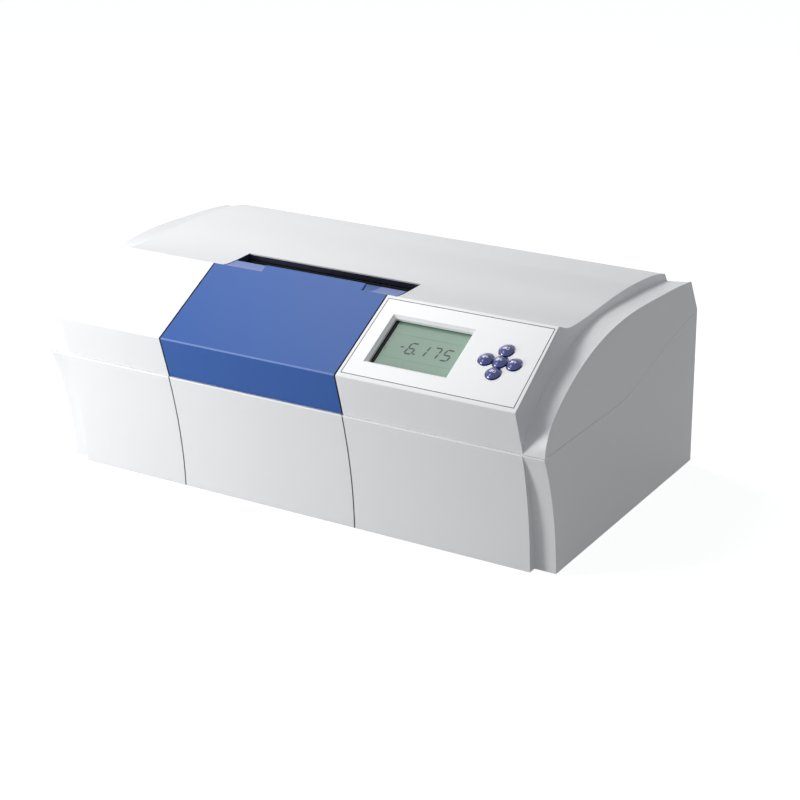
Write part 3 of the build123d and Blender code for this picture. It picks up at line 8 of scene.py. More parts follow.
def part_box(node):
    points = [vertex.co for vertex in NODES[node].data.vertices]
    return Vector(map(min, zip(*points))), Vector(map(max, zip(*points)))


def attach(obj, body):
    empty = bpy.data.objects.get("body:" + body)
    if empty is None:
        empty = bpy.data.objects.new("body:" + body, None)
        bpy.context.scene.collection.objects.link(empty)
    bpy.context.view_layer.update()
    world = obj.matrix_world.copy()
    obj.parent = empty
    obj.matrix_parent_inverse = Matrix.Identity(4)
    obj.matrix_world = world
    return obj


bl_info = {
    "name": "Bench polarimeter finish",
    "version": (1, 0, 0),
    "blender": (4, 5, 0),
    "location": "View3D > Sidebar > Polarimeter",
    "description": "Finishes, display figures, key legends and studio for a bench polarimeter",
    "category": "Object",
}

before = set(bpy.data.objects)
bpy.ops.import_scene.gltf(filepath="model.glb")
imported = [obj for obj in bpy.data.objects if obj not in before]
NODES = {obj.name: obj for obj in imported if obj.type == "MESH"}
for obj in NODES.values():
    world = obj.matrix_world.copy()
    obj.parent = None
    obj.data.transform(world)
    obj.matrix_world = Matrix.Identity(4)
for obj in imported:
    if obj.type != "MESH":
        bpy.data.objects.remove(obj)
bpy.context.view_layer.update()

MM = 0.001

# the operating slope and what lies in it, measured across and up the slope
NOSE = np.array([0.0, -181.15, 181.4]) * MM      # where the fascia meets the operating slope
SLOPE = math.atan2(53.5, 99.7)                   # rise over run of the operating slope
PANEL_LEFT = 79.0 * MM                           # edges of the inset panel
PANEL_RIGHT = 270.0 * MM
PANEL_LOW = 6.0 * MM
PANEL_HIGH = 109.0 * MM
PANEL_TAPER = 4.6 * MM                           # the panel's right edge leans in by this
PANEL_LINE = 0.22 * MM                           # dark line on the panel's own edge
WINDOW_LEFT = 97.5 * MM
WINDOW_WIDE = 88.5 * MM
WINDOW_HIGH = 87.5 * MM
GLASS_DEPTH = 6.6 * MM                           # display glass under the slope
PRINT_LIFT = 0.02 * MM                           # printing stands this far off its ground
PRINT_THICK = 0.04 * MM
RULE_THICK = 0.03 * MM

# the sample lid, its slot in the hood and its grooves in the case
SLOT_BACK = -15.95 * MM                          # back edge of the slot in the hood
SLOT_RIM = 226.0 * MM
TONGUE_MID = -18.05 * MM                         # the lid's tongue over the slot
TONGUE_HALF = 61.65 * MM
CREST_Y = -81.45 * MM                            # the slope ends here and the hood begins
LID_GAP = 1.55 * MM                              # strip beside the lid in which its shade lies
GROOVE_MID = 0.6 * MM                            # groove in the case beside the lid's flank
GROOVE_HALF = 0.75 * MM
SEAM_Z = 135.3 * MM                              # top edge of the lower case at the front
TOUCH = 0.1 * MM                                 # faces closer than this count as one

# the keys, across and up the slope
KEY_CENTRE = (231.5 * MM, 56.2 * MM)
KEY_PITCH = 15.3 * MM
KEY_RADIUS = 7.3 * MM
KEY_EDGE = 0.9 * MM
KEY_DOME = 3.2 * MM
KEY_STEPS = {"up": (0, 1), "left": (-1, 0), "centre": (0, 0), "right": (1, 0), "down": (0, -1)}

# painted light and shade that the masks lay over the finishes, and the tinned pads' colour
TAIL_HIGHLIGHT = (0.34, 0.40, 0.74)
FOLD_HIGHLIGHT = (0.45, 0.58, 0.90)
FLANK_SHADE = (0.006, 0.012, 0.05)
PANEL_SEAM_SHADE = (0.03, 0.032, 0.036)
SLOT_SHADE = (0.02, 0.024, 0.045)
GROOVE_SHADE = (0.05, 0.06, 0.085)
LEDGE_HIGHLIGHT = (0.98, 0.98, 0.985)
WINDOW_SHADE = (0.006, 0.007, 0.006)
TINNED = (0.62, 0.62, 0.60)

# the photograph's view
CAMERA_PLACE = (1.080, -1.69315, 0.876)
CAMERA_TURN = (31.61, 21.68, -0.70)              # round to the right, up and roll, in degrees


# ---- shader building ---------------------------------------------------------------------------


class Value:
    """A shader socket that Python arithmetic can be done with; each operation adds a Math node."""

    def __init__(self, graph, socket):
        self.graph = graph
        self.socket = socket

    def _math(self, operation, *terms):
        return self.graph.add("ShaderNodeMath", {"operation": operation}, dict(enumerate(terms)))

    def __add__(self, other):
        return self._math("ADD", self, other)

    def __radd__(self, other):
        return self._math("ADD", other, self)

    def __sub__(self, other):
        return self._math("SUBTRACT", self, other)

    def __rsub__(self, other):
        return self._math("SUBTRACT", other, self)

    def __mul__(self, other):
        return self._math("MULTIPLY", self, other)

    def __rmul__(self, other):
        return self._math("MULTIPLY", other, self)

    def __truediv__(self, other):
        return self._math("DIVIDE", self, other)

    def __gt__(self, other):
        return self._math("GREATER_THAN", self, other)

    def __lt__(self, other):
        return self._math("LESS_THAN", self, other)

    def __mod__(self, other):
        return self._math("FLOORED_MODULO", self, other)

    def size(self):
        """Without its sign."""
        return self._math("ABSOLUTE", self)

    def limit(self):
        """Kept between 0 and 1."""
        return self.graph.add("ShaderNodeClamp", {}, {"Value": self})


class Graph:
    """The node tree of one material, or of the world."""

    def __init__(self, name, library="materials", output="ShaderNodeOutputMaterial"):
        self.owner = getattr(bpy.data, library).new(name)
        self.owner.use_nodes = True
        self.tree = self.owner.node_tree
        self.tree.nodes.clear()
        self.output = self.tree.nodes.new(output)

    def add(self, kind, settings=None, sockets=None, out=0):
        """A node of one type: its settings are set first, then its sockets' values or links."""
        node = self.tree.nodes.new(kind)
        for key, setting in (settings or {}).items():
            setattr(node, key, setting)
        for key, term in (sockets or {}).items():
            socket = node.inputs[key]
            if isinstance(term, Value):
                self.tree.links.new(term.socket, socket)
            else:
                socket.default_value = term
        return Value(self, node.outputs[out])

    def place(self):
        """Position on the piece, in metres."""
        return self.add("ShaderNodeTexCoord", out="Object")

    def axes(self):
        """The three coordinates of the position on the piece."""
        return [self.add("ShaderNodeSeparateXYZ", {}, {0: self.place()}, out=i) for i in range(3)]

    def noise(self, scale, detail=3.0, rough=0.55, stretch=(1.0, 1.0, 1.0)):
        """Noise between 0 and 1 with about `scale` patches to the metre, and more of them along an axis
        whose stretch is above 1."""
        where = self.add("ShaderNodeMapping", {"vector_type": "POINT"},
                         {"Vector": self.place(), "Scale": stretch})
        return self.add("ShaderNodeTexNoise", {},
                        {"Vector": where, "Scale": scale, "Detail": detail, "Roughness": rough})

    def greater(self, first, second):
        """The greater of two values."""
        return self.add("ShaderNodeMath", {"operation": "MAXIMUM"}, {0: first, 1: second})

    def seen(self):
        """1 for the camera's rays and for those that metal and glass send on, and 0 for all others."""
        kinds = ("Is Camera Ray", "Is Glossy Ray", "Is Transmission Ray")
        camera, mirrored, through = [self.add("ShaderNodeLightPath", out=kind) for kind in kinds]
        return (camera + mirrored + through).limit()

    def mix(self, amount, low, high):
        """A colour between two colours."""
        return self.add(
            "ShaderNodeMix", {"data_type": "RGBA"},
            {0: amount, 6: self._rgba(low), 7: self._rgba(high)}, out=2,
        )

    def bump(self, height, distance, strength=1.0):
        """A normal tilted by a height from 0 to 1, whose full depth is the distance in metres."""
        return self.add("ShaderNodeBump", {},
                        {"Strength": strength, "Distance": distance, "Height": height})

    @staticmethod
    def _rgba(colour):
        if isinstance(colour, Value):
            return colour
        return (*tuple(colour)[:3], 1.0)

    def surface(self, **sockets):
        """A Principled shader with the given sockets, joined to the output."""
        renamed = {key.replace("_", " "): term for key, term in sockets.items()}
        if "Base Color" in renamed:
            renamed["Base Color"] = self._rgba(renamed["Base Color"])
        return self.close(self.add("ShaderNodeBsdfPrincipled", {}, renamed))

    def close(self, shader):
        """Joins the last shader to the output and gives the finished material or world."""
        self.tree.links.new(shader.socket, self.output.inputs["Surface"])
        return self.owner


def tone(colour, factor):
    """A colour made lighter or darker."""
    return tuple(min(1.0, part * factor) for part in tuple(colour)[:3])


# ---- finishes ----------------------------------------------------------------------------------


def up_slope(y, z):
    """Distance of a point up the operating slope from its foot."""
    return (y - NOSE[1]) * math.cos(SLOPE) + (z - NOSE[2]) * math.sin(SLOPE)


def past_flank(x):
    """How far a point lies outside the lid's flanks; over the lid it is below 0."""
    low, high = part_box("sample_lid")
    return (x - (low[0] + high[0]) / 2).size() - (high[0] - low[0]) / 2


def lid_painted_light(g, colour):
    """Painted shade on the flanks in the gaps and painted highlights: a light line on the fold of the nose
    and paler tails behind the crest.
    """
    x, y, z = g.axes()
    # painted shade: the lid's flanks are darkened where they face the gaps beside it
    flank = past_flank(x) > -0.4 * MM
    # painted highlight: a light line along the rounded fold of the nose
    fold = ((z - NOSE[2] + TOUCH).size() < 0.8 * MM) * (y < NOSE[1] + 1.6 * MM)
    # painted highlight: the tails behind the crest, which face up, are painted paler
    tail = (y > CREST_Y + 1.2 * MM) * ((x - TONGUE_MID).size() > TONGUE_HALF)
    colour = g.mix(tail * 0.5, colour, TAIL_HIGHLIGHT)
    colour = g.mix(fold * 0.3, colour, FOLD_HIGHLIGHT)
    return g.mix(flank, colour, FLANK_SHADE)


def panel_edge(g):
    """How far a point lies outside the edge of the inset panel: the greatest of its four distances."""
    x, y, z = g.axes()
    up = up_slope(y, z)
    right = x - PANEL_RIGHT + (up - PANEL_LOW) * (PANEL_TAPER / (PANEL_HIGH - PANEL_LOW))
    return g.greater(g.greater(right, PANEL_LEFT - x), g.greater(up - PANEL_HIGH, PANEL_LOW - up))


def panel_painted_shade(g, colour):
    """Painted shade along the outer edge of the inset panel, where it meets the cover."""
    return g.mix((panel_edge(g) > -PANEL_LINE) * 0.9, colour, PANEL_SEAM_SHADE)


def cover_painted_shade(g, colour):
    """Painted shade on the returns round the lid opening, behind the slot and round the inset panel."""
    x, y, z = g.axes()
    across = past_flank(x)
    # painted shade in the gaps beside the lid and on the wall behind the slot
    gap = (across > TOUCH) * (across < LID_GAP) * (y < SLOT_BACK)
    slot = ((y - SLOT_BACK).size() < 0.4 * MM) * (across < LID_GAP) * (z < SLOT_RIM)
    rim = panel_edge(g)
    # painted shade in the seam round the inset panel
    seam = (rim > 0.2 * MM) * (rim < 0.75 * MM) * (x > PANEL_LEFT - 2.0 * MM)
    colour = g.mix(seam * 0.85, colour, PANEL_SEAM_SHADE)
    return g.mix((gap + slot).limit(), colour, SLOT_SHADE)


def case_painted_light(g, colour):
    """Painted shade in the grooves under both edges of the lid and a painted highlight on the ledge along
    the front seam.
    """
    x, y, z = g.axes()
    # painted shade in the grooves beside the lid's flanks
    groove = ((past_flank(x) - GROOVE_MID).size() < GROOVE_HALF) * (y < 0.0)
    # painted highlight on the lower case's top ledge along the front seam
    ledge = (z > SEAM_Z - 2.0 * MM) * (y < NOSE[1] + 20.0 * MM)
    colour = g.mix(ledge, colour, LEDGE_HIGHLIGHT)
    return g.mix(groove * 0.8, colour, GROOVE_SHADE)


def moulded_finish(name, colour, rough=0.42, grain=1500.0, depth=0.03 * MM, spread=0.035, coat=0.0,
                   gleam=0.5, shades=None):
    """Moulded plastic: spark-eroded grain, faint cloudy tone and patchy sheen, with the painted light and
    shade of any given shades laid over the tone.
    """
    g = Graph(name)
    cloud = g.noise(9.0, 3.0)
    fine = g.noise(grain, 2.0, 0.5)
    speck = g.noise(grain * 0.31, 4.0, 0.6)
    shaded = g.mix(cloud, tone(colour, 1.0 - spread), tone(colour, 1.0 + spread))
    if shades:
        shaded = shades(g, shaded)
    gloss = rough - 0.05 + cloud * 0.06 + speck * 0.05
    height = fine * 0.7 + speck * 0.3
    return g.surface(
        Base_Color=shaded, Roughness=gloss, Normal=g.bump(height, depth, 0.6),
        Coat_Weight=coat, Coat_Roughness=0.12, Specular_IOR_Level=gleam,
    )


def powder_finish(name, colour, rough=0.6):
    """Matt powder paint over sheet metal: orange peel and rubbed lighter patches."""
    g = Graph(name)
    peel = g.noise(900.0, 2.0, 0.5)
    rubbed = (g.noise(38.0, 5.0, 0.65) - 0.56) * 4.0
    worn = rubbed.limit() * 0.5
    return g.surface(
        Base_Color=g.mix(worn, colour, tone(colour, 2.2)), Roughness=rough - worn * 0.15 + peel * 0.06,
        Normal=g.bump(peel, 0.06 * MM, 0.8),
    )


def brushed_finish(name, colour, rough=0.34, run=(1.0, 60.0, 60.0)):
    """Metal brushed along one axis, with a few deeper scratches."""
    g = Graph(name)
    hair = g.noise(60.0, 6.0, 0.7, run)
    patch = g.noise(24.0, 3.0)
    return g.surface(
        Base_Color=g.mix(hair, tone(colour, 0.88), tone(colour, 1.08)), Metallic=1.0,
        Roughness=rough + (hair - 0.5) * 0.22 + (patch - 0.5) * 0.1, Normal=g.bump(hair, 0.02 * MM, 0.5),
    )


def turned_finish(name, colour, rough=0.25):
    """Turned metal: fine rings of tool marks across the optical axis, and dull patches."""
    g = Graph(name)
    rings = g.add("ShaderNodeTexWave", {"wave_type": "BANDS", "bands_direction": "X"},
                  {"Vector": g.place(), "Scale": 420.0, "Distortion": 0.6, "Detail": 2.0})
    patch = g.noise(55.0, 4.0, 0.6)
    return g.surface(
        Base_Color=g.mix(patch, tone(colour, 0.8), tone(colour, 1.1)), Metallic=1.0,
        Roughness=rough + patch * 0.16, Normal=g.bump(rings, 0.02 * MM, 0.4),
    )


def rubber_finish(name, colour):
    """Rubber: dusty bloom and a fine stipple."""
    g = Graph(name)
    bloom = g.noise(70.0, 5.0, 0.65)
    stipple = g.noise(1800.0, 1.0)
    return g.surface(
        Base_Color=g.mix(bloom * 0.6, colour, tone(colour, 2.6)), Roughness=0.72 + bloom * 0.2,
        Normal=g.bump(stipple, 0.08 * MM, 0.7),
    )


def glass_finish(name, colour, rough=0.04, clear=0.85):
    """Clear glass with a trace of smears on the surface."""
    g = Graph(name)
    smear = g.noise(45.0, 6.0, 0.7, (1.0, 1.0, 5.0))
    return g.surface(
        Base_Color=g.mix(smear, tone(colour, 0.95), colour), Roughness=rough + smear * 0.05,
        Transmission_Weight=clear, IOR=1.5,
    )


def display_finish(name, colour):
    """Grey-green liquid crystal behind clear glass: cloudy tint that lightens from left to right, fine cell
    lines, and painted shade along the top of the window.
    """
    g = Graph(name)
    x, y, z = g.axes()
    cloud = g.noise(14.0, 2.0)
    across = ((x - WINDOW_LEFT) / WINDOW_WIDE).limit()
    tint = g.mix(across * 0.6 + cloud * 0.4, tone(colour, 0.82), tone(colour, 1.18))
    # painted shade: the glass turns near black along the top of the window
    tint = g.mix(up_slope(y, z) > WINDOW_HIGH + GLASS_DEPTH * 0.3, tint, WINDOW_SHADE)
    cell = g.noise(2600.0, 1.0)
    return g.surface(
        Base_Color=tint, Roughness=0.30 + cell * 0.08, Specular_IOR_Level=0.25,
        Coat_Weight=0.05, Coat_Roughness=0.03, Normal=g.bump(cell, 0.01 * MM, 0.3),
    )


def board_finish(name, colour, pitch=390.0, track=0.62, pad=0.16):
    """Printed board: solder resist over copper runs and rows of tinned pads. Pitch is in runs to the
    metre; a run starts at the track's share of its cell, and a pad reaches so far from its middle."""
    g = Graph(name)
    x, y, z = g.axes()
    run_x = (x * pitch) % 1.0
    run_y = ((y + z) * pitch) % 1.0
    blocks = g.noise(95.0, 0.0)
    runs = (run_x > track) * (blocks > 0.52) + (run_y > track) * (blocks < 0.44)
    rows = (blocks > 0.5) * (blocks < 0.56)
    pads = ((run_x - 0.5).size() < pad) * ((run_y - 0.5).size() < pad) * rows
    copper = runs.limit()
    resist = g.mix(copper * 0.7, colour, tone(colour, 1.9))
    return g.surface(
        Base_Color=g.mix(pads, resist, TINNED), Metallic=pads, Roughness=0.36 - pads * 0.1,
        Coat_Weight=0.3, Normal=g.bump(copper + pads * 2.0, 0.04 * MM, 0.7),
    )


def wound_finish(name, colour, turns=1500.0, pitch=0.03):
    """Enamelled wire wound side by side, turns to the metre, at a slight pitch under varnish."""
    g = Graph(name)
    x, y, z = g.axes()
    wave = (((x + z * pitch) * turns) % 1.0 - 0.5).size()
    layer = g.noise(160.0, 2.0)
    return g.surface(
        Base_Color=g.mix(wave * 1.4 + layer * 0.3, tone(colour, 0.45), colour), Metallic=0.75,
        Roughness=0.3 + layer * 0.15, Normal=g.bump(1.0 - wave * 2.0, 0.2 * MM, 0.9), Coat_Weight=0.4,
    )


def stacked_finish(name, colour, leaves=1400.0):
    """Stack of varnished iron laminations, leaves to the metre, lighter where their edges show."""
    g = Graph(name)
    x, y, z = g.axes()
    leaf = ((y * leaves) % 1.0 - 0.5).size() * 2.0
    stain = g.noise(60.0, 5.0, 0.6)
    return g.surface(
        Base_Color=g.mix(leaf * 0.5 + stain * 0.5, tone(colour, 0.6), tone(colour, 1.6)), Metallic=0.35,
        Roughness=0.45 + stain * 0.2, Normal=g.bump(leaf, 0.15 * MM, 0.8),
    )


def print_finish(name, colour, rough=0.5):
    """Flat printing ink with a slightly uneven edge to its tone."""
    g = Graph(name)
    ink = g.noise(900.0, 2.0)
    return g.surface(
        Base_Color=g.mix(ink, tone(colour, 0.92), tone(colour, 1.06)), Roughness=rough + ink * 0.08,
    )


def dress(material, *names):
    """Gives CAD nodes a finish."""
    for name in names:
        slots = NODES[name].data.materials
        slots.clear()
        slots.append(material)


# ---- surfaces ----------------------------------------------------------------------------------


def on_slope(across, up, over):
    """Points over the operating slope: across is X, up runs along the slope, over is height above it."""
    across, up, over = np.broadcast_arrays(across, up, over)
    return np.stack(
        [
            NOSE[0] + across,
            NOSE[1] + up * math.cos(SLOPE) - over * math.sin(SLOPE),
            NOSE[2] + up * math.sin(SLOPE) + over * math.cos(SLOPE),
        ],
        axis=-1,
    )


def link(name, data):
    """A new object in the scene for a mesh, a lamp or a camera."""
    thing = bpy.data.objects.new(name, data)
    bpy.context.scene.collection.objects.link(thing)
    return thing


def make_mesh(name, points, faces, material):
    """A mesh from an array of points and one of faces, with its finish."""
    mesh = bpy.data.meshes.new(name)
    mesh.from_pydata(np.asarray(points).reshape(-1, 3).tolist(), [], faces.tolist())
    mesh.materials.append(material)
    return mesh


def make_print(name, points, faces, material, body, thickness):
    """A thin printed piece from points and faces, on the body that it rides on."""
    piece = link(name, make_mesh(name, points, faces, material))
    wall = piece.modifiers.new("wall", "SOLIDIFY")
    wall.thickness = thickness
    wall.offset = 1.0
    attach(piece, body)


def bars(starts, ends, half):
    """Six-sided bars in a plane: each runs from its start to its end, has its half width to both sides,
    and narrows to a point over one half width at both ends."""
    starts, ends = np.asarray(starts), np.asarray(ends)
    half = np.asarray(half)[:, None]
    run = ends - starts
    run /= np.linalg.norm(run, axis=1, keepdims=True)
    side = np.stack([-run[:, 1], run[:, 0]], axis=1)
    corners = [
        starts,
        starts + (run - side) * half,
        ends - (run + side) * half,
        ends,
        ends - (run - side) * half,
        starts + (run + side) * half,
    ]
    faces = np.arange(len(starts) * 6).reshape(-1, 6)
    return np.stack(corners, axis=1).reshape(-1, 2), faces


def on_dome(flat):
    """Height of a key's dome above the slope: the ball's height over the point, less the part of the
    ball that is sunk in the cap."""
    ball = (KEY_RADIUS ** 2 + KEY_DOME ** 2) / (2 * KEY_DOME)
    return np.sqrt(ball ** 2 - (flat ** 2).sum(axis=1)) - ball + KEY_DOME + KEY_EDGE


def dome_strokes(strokes, half, stations=7):
    """Strokes as narrow grids, so that they can lie on a dome: each grid's points run evenly from the
    stroke's start to its end, half a width to the right and to the left of its middle line."""
    along = np.linspace(0.0, 1.0, stations)[None, :, None]
    middle = strokes[:, None, 0] * (1 - along) + strokes[:, None, 1] * along
    run = strokes[:, 1] - strokes[:, 0]
    run /= np.linalg.norm(run, axis=1, keepdims=True)
    side = np.stack([-run[:, 1], run[:, 0]], axis=1)[:, None, None, :]
    grid = middle[:, :, None, :] + side * np.array([-half, half])[None, None, :, None]
    first = np.arange(len(strokes))[:, None] * stations * 2 + np.arange(stations - 1)[None, :] * 2
    faces = (first[..., None] + np.array([0, 2, 3, 1])).reshape(-1, 4)
    return grid.reshape(-1, 2), faces


# ---- printed shapes ----------------------------------------------------------------------------

# ends of the seven strokes of a figure, as shares of its width and height
STROKES = {
    "a": ((0.0, 1.0), (1.0, 1.0)),
    "b": ((1.0, 1.0), (1.0, 0.5)),
    "c": ((1.0, 0.5), (1.0, 0.0)),
    "d": ((0.0, 0.0), (1.0, 0.0)),
    "e": ((0.0, 0.5), (0.0, 0.0)),
    "f": ((0.0, 1.0), (0.0, 0.5)),
    "g": ((0.0, 0.5), (1.0, 0.5)),
}
FIGURES = {
    "0": "abcdef", "1": "bc", "2": "abged", "3": "abgcd", "4": "fgbc",
    "5": "afgcd", "6": "afgedc", "7": "abc", "8": "abcdefg", "9": "abcfgd", "-": "g",
}
# rules, tick and angle sign on the display, in millimetres across and up the slope:
# both ends and half the width of each line
RULES = (
    (104.5, 72.2, 181.5, 72.2, 0.12),
    (105.5, 41.0, 185.5, 41.0, 0.12),
    (106.0, 30.2, 184.5, 30.2, 0.12),
    (131.2, 33.8, 132.2, 38.5, 0.26),
    (100.8, 50.0, 100.8, 53.0, 0.20),
    (100.8, 53.0, 103.0, 53.0, 0.20),
    (103.0, 53.0, 103.0, 50.0, 0.20),
    (103.0, 50.0, 100.8, 50.0, 0.20),
    (103.6, 49.8, 104.2, 53.4, 0.20),
)
# ends of the strokes of the key marks, in millimetres from the middle of the mark
CHEVRON = (((-1.1, -1.5), (1.1, 0.0)), ((1.1, 0.0), (-1.1, 1.5)))
CROSS = (((-1.2, 0.0), (1.2, 0.0)), ((0.0, -1.4), (0.0, 1.4)))
FRAME = (((-1.1, -1.3), (1.1, -1.3)), ((1.1, -1.3), (1.1, 1.3)), ((1.1, 1.3), (-1.1, 1.3)),
         ((-1.1, 1.3), (-1.1, -1.3)))
# each key's left mark, the angle in degrees that it is turned by, and its right mark
KEY_MARKS = {
    "up": (CHEVRON, 90.0, FRAME),
    "left": (CHEVRON, 180.0, CROSS),
    "centre": (FRAME, 0.0, CROSS),
    "right": (CHEVRON, 0.0, CROSS),
    "down": (CHEVRON, -90.0, FRAME),
}
# in the same millimetres: how far a key's two marks stand aside and up from its middle
MARK_ASIDE = np.array([1.95, 0.0])
MARK_RAISE = np.array([0.0, 0.2])
MARK_HALF = 0.30 * MM                            # half the width of a stroke


# ---- settings ----------------------------------------------------------------------------------



class PolarimeterFinishes(bpy.types.PropertyGroup):
    """Colours of the finishes"""

    case_colour: bpy.props.FloatVectorProperty(
        name="Case", description="Colour of the moulded case", default=(0.80, 0.805, 0.815),
        subtype="COLOR", min=0.0, max=1.0)
    panel_colour: bpy.props.FloatVectorProperty(
        name="Panel", description="Colour of the operating panel", default=(0.83, 0.83, 0.84),
        subtype="COLOR", min=0.0, max=1.0)
    lid_colour: bpy.props.FloatVectorProperty(
        name="Lid", description="Colour of the sample lid", default=(0.028, 0.100, 0.355),
        subtype="COLOR", min=0.0, max=1.0)
    key_colour: bpy.props.FloatVectorProperty(
        name="Keys", description="Colour of the key caps", default=(0.014, 0.03, 0.22),
        subtype="COLOR", min=0.0, max=1.0)
    display_colour: bpy.props.FloatVectorProperty(
        name="Display", description="Tint of the liquid crystal", default=(0.172, 0.285, 0.208),
        subtype="COLOR", min=0.0, max=1.0)
    grain_depth: bpy.props.FloatProperty(
        name="Grain depth", description="Depth of the moulded grain", default=0.00003, unit="LENGTH")


class PolarimeterReading(bpy.types.PropertyGroup):
    """Number on the display and the build of its figures"""

    reading: bpy.props.StringProperty(
        name="Reading", description="Figures on the display", default="-6.175")
    figure_height: bpy.props.FloatProperty(
        name="Figure height", description="Height of a figure", default=0.0142, unit="LENGTH")
    figure_width: bpy.props.FloatProperty(
        name="Figure width", description="Width between the upright strokes", default=0.0078, unit="LENGTH")
    figure_pitch: bpy.props.FloatProperty(
        name="Figure pitch", description="Distance from one figure to the next", default=0.0134,
        unit="LENGTH")
    stroke_width: bpy.props.FloatProperty(
        name="Stroke width", description="Width of a stroke", default=0.0019, unit="LENGTH")
    lean: bpy.props.FloatProperty(
        name="Lean", description="Slant of the figures", default=math.radians(11.0), unit="ROTATION")
    last_corner: bpy.props.FloatVectorProperty(
        name="Last figure", description="Lower left corner of the last figure, across and up the slope",
        default=(0.1658, 0.0495), size=2, unit="LENGTH")


class PolarimeterStudio(bpy.types.PropertyGroup):
    """Lamps and camera"""

    key_power: bpy.props.FloatProperty(
        name="Key light", description="Power of the soft key light", default=5.35, unit="POWER")
    front_power: bpy.props.FloatProperty(
        name="Front light", description="Power of the low light at the left front", default=9.2,
        unit="POWER")
    top_power: bpy.props.FloatProperty(
        name="Top light", description="Power of the light over the hood", default=6.8, unit="POWER")
    room_level: bpy.props.FloatProperty(
        name="Room light", description="Strength of the even light of the room", default=0.325)
    lens: bpy.props.FloatProperty(
        name="Lens", description="Focal length of the camera", default=89.505, unit="CAMERA")


# ---- operators ---------------------------------------------------------------------------------


class POLARIMETER_OT_case(bpy.types.Operator):
    """Finish of the two moulded shells, the feet and the base"""

    bl_idname = "polarimeter.case"
    bl_label = "Case finish"

    def execute(self, context):
        s = context.scene.polarimeter_finishes
        plain = dict(rough=0.40, depth=s.grain_depth, spread=0.015)
        dress(moulded_finish("cover_white", s.case_colour, shades=cover_painted_shade, **plain), "upper_cover")
        dress(moulded_finish("case_white", s.case_colour, shades=case_painted_light, **plain), "lower_case")
        dress(brushed_finish("zinc_sheet", (0.60, 0.61, 0.63), 0.36), "base_plate")
        dress(rubber_finish("foot_rubber", (0.018, 0.018, 0.019)), "rubber_feet")
        dress(turned_finish("plated_screw", (0.66, 0.66, 0.68)), "base_plate_screws")
        return {"FINISHED"}


class POLARIMETER_OT_lid(bpy.types.Operator):
    """Finish of the sample lid and of its hinge"""

    bl_idname = "polarimeter.lid"
    bl_label = "Lid finish"

    def execute(self, context):
        s = context.scene.polarimeter_finishes
        dress(moulded_finish("lid_blue", s.lid_colour, depth=s.grain_depth, spread=0.05, gleam=0.2,
                             shades=lid_painted_light), "sample_lid")
        dress(powder_finish("hinge_black", (0.02, 0.02, 0.022)), "hinge_brackets")
        dress(turned_finish("hinge_steel", (0.62, 0.62, 0.64)), "hinge_pins", "hinge_screws")
        return {"FINISHED"}


class POLARIMETER_OT_chamber(bpy.types.Operator):
    """Finish of the sample chamber, the tube cradle and the light ports"""

    bl_idname = "polarimeter.chamber"
    bl_label = "Chamber finish"

    def execute(self, context):
        dress(powder_finish("chamber_black", (0.016, 0.016, 0.018), 0.62), "sample_chamber", "tube_cradle")
        dress(turned_finish("black_anodised", (0.05, 0.05, 0.055), 0.38), "port_bushings", "lens_barrel",
              "polarizer_mount", "analyzer_house", "detector_house")
        dress(glass_finish("port_glass", (0.92, 0.95, 0.96)), "port_windows")
        return {"FINISHED"}


class POLARIMETER_OT_panel(bpy.types.Operator):
    """Finish of the operating panel and of the display behind it"""

    bl_idname = "polarimeter.panel"
    bl_label = "Panel and display finish"

    def execute(self, context):
        s = context.scene.polarimeter_finishes
        dress(moulded_finish("panel_white", s.panel_colour, rough=0.34, grain=2200.0, depth=0.01 * MM,
                             spread=0.01, shades=panel_painted_shade), "control_panel")
        dress(moulded_finish("bezel_black", (0.005, 0.005, 0.006), rough=0.6, gleam=0.15),
              "display_bezel", "key_switches")
        dress(display_finish("display_grey_green", s.display_colour), "display_glass")
        dress(board_finish("board_green", (0.012, 0.075, 0.03)), "display_board", "key_board", "main_board")
        dress(turned_finish("post_steel", (0.6, 0.6, 0.62)), "display_posts", "key_board_posts",
              "board_standoffs")
        return {"FINISHED"}


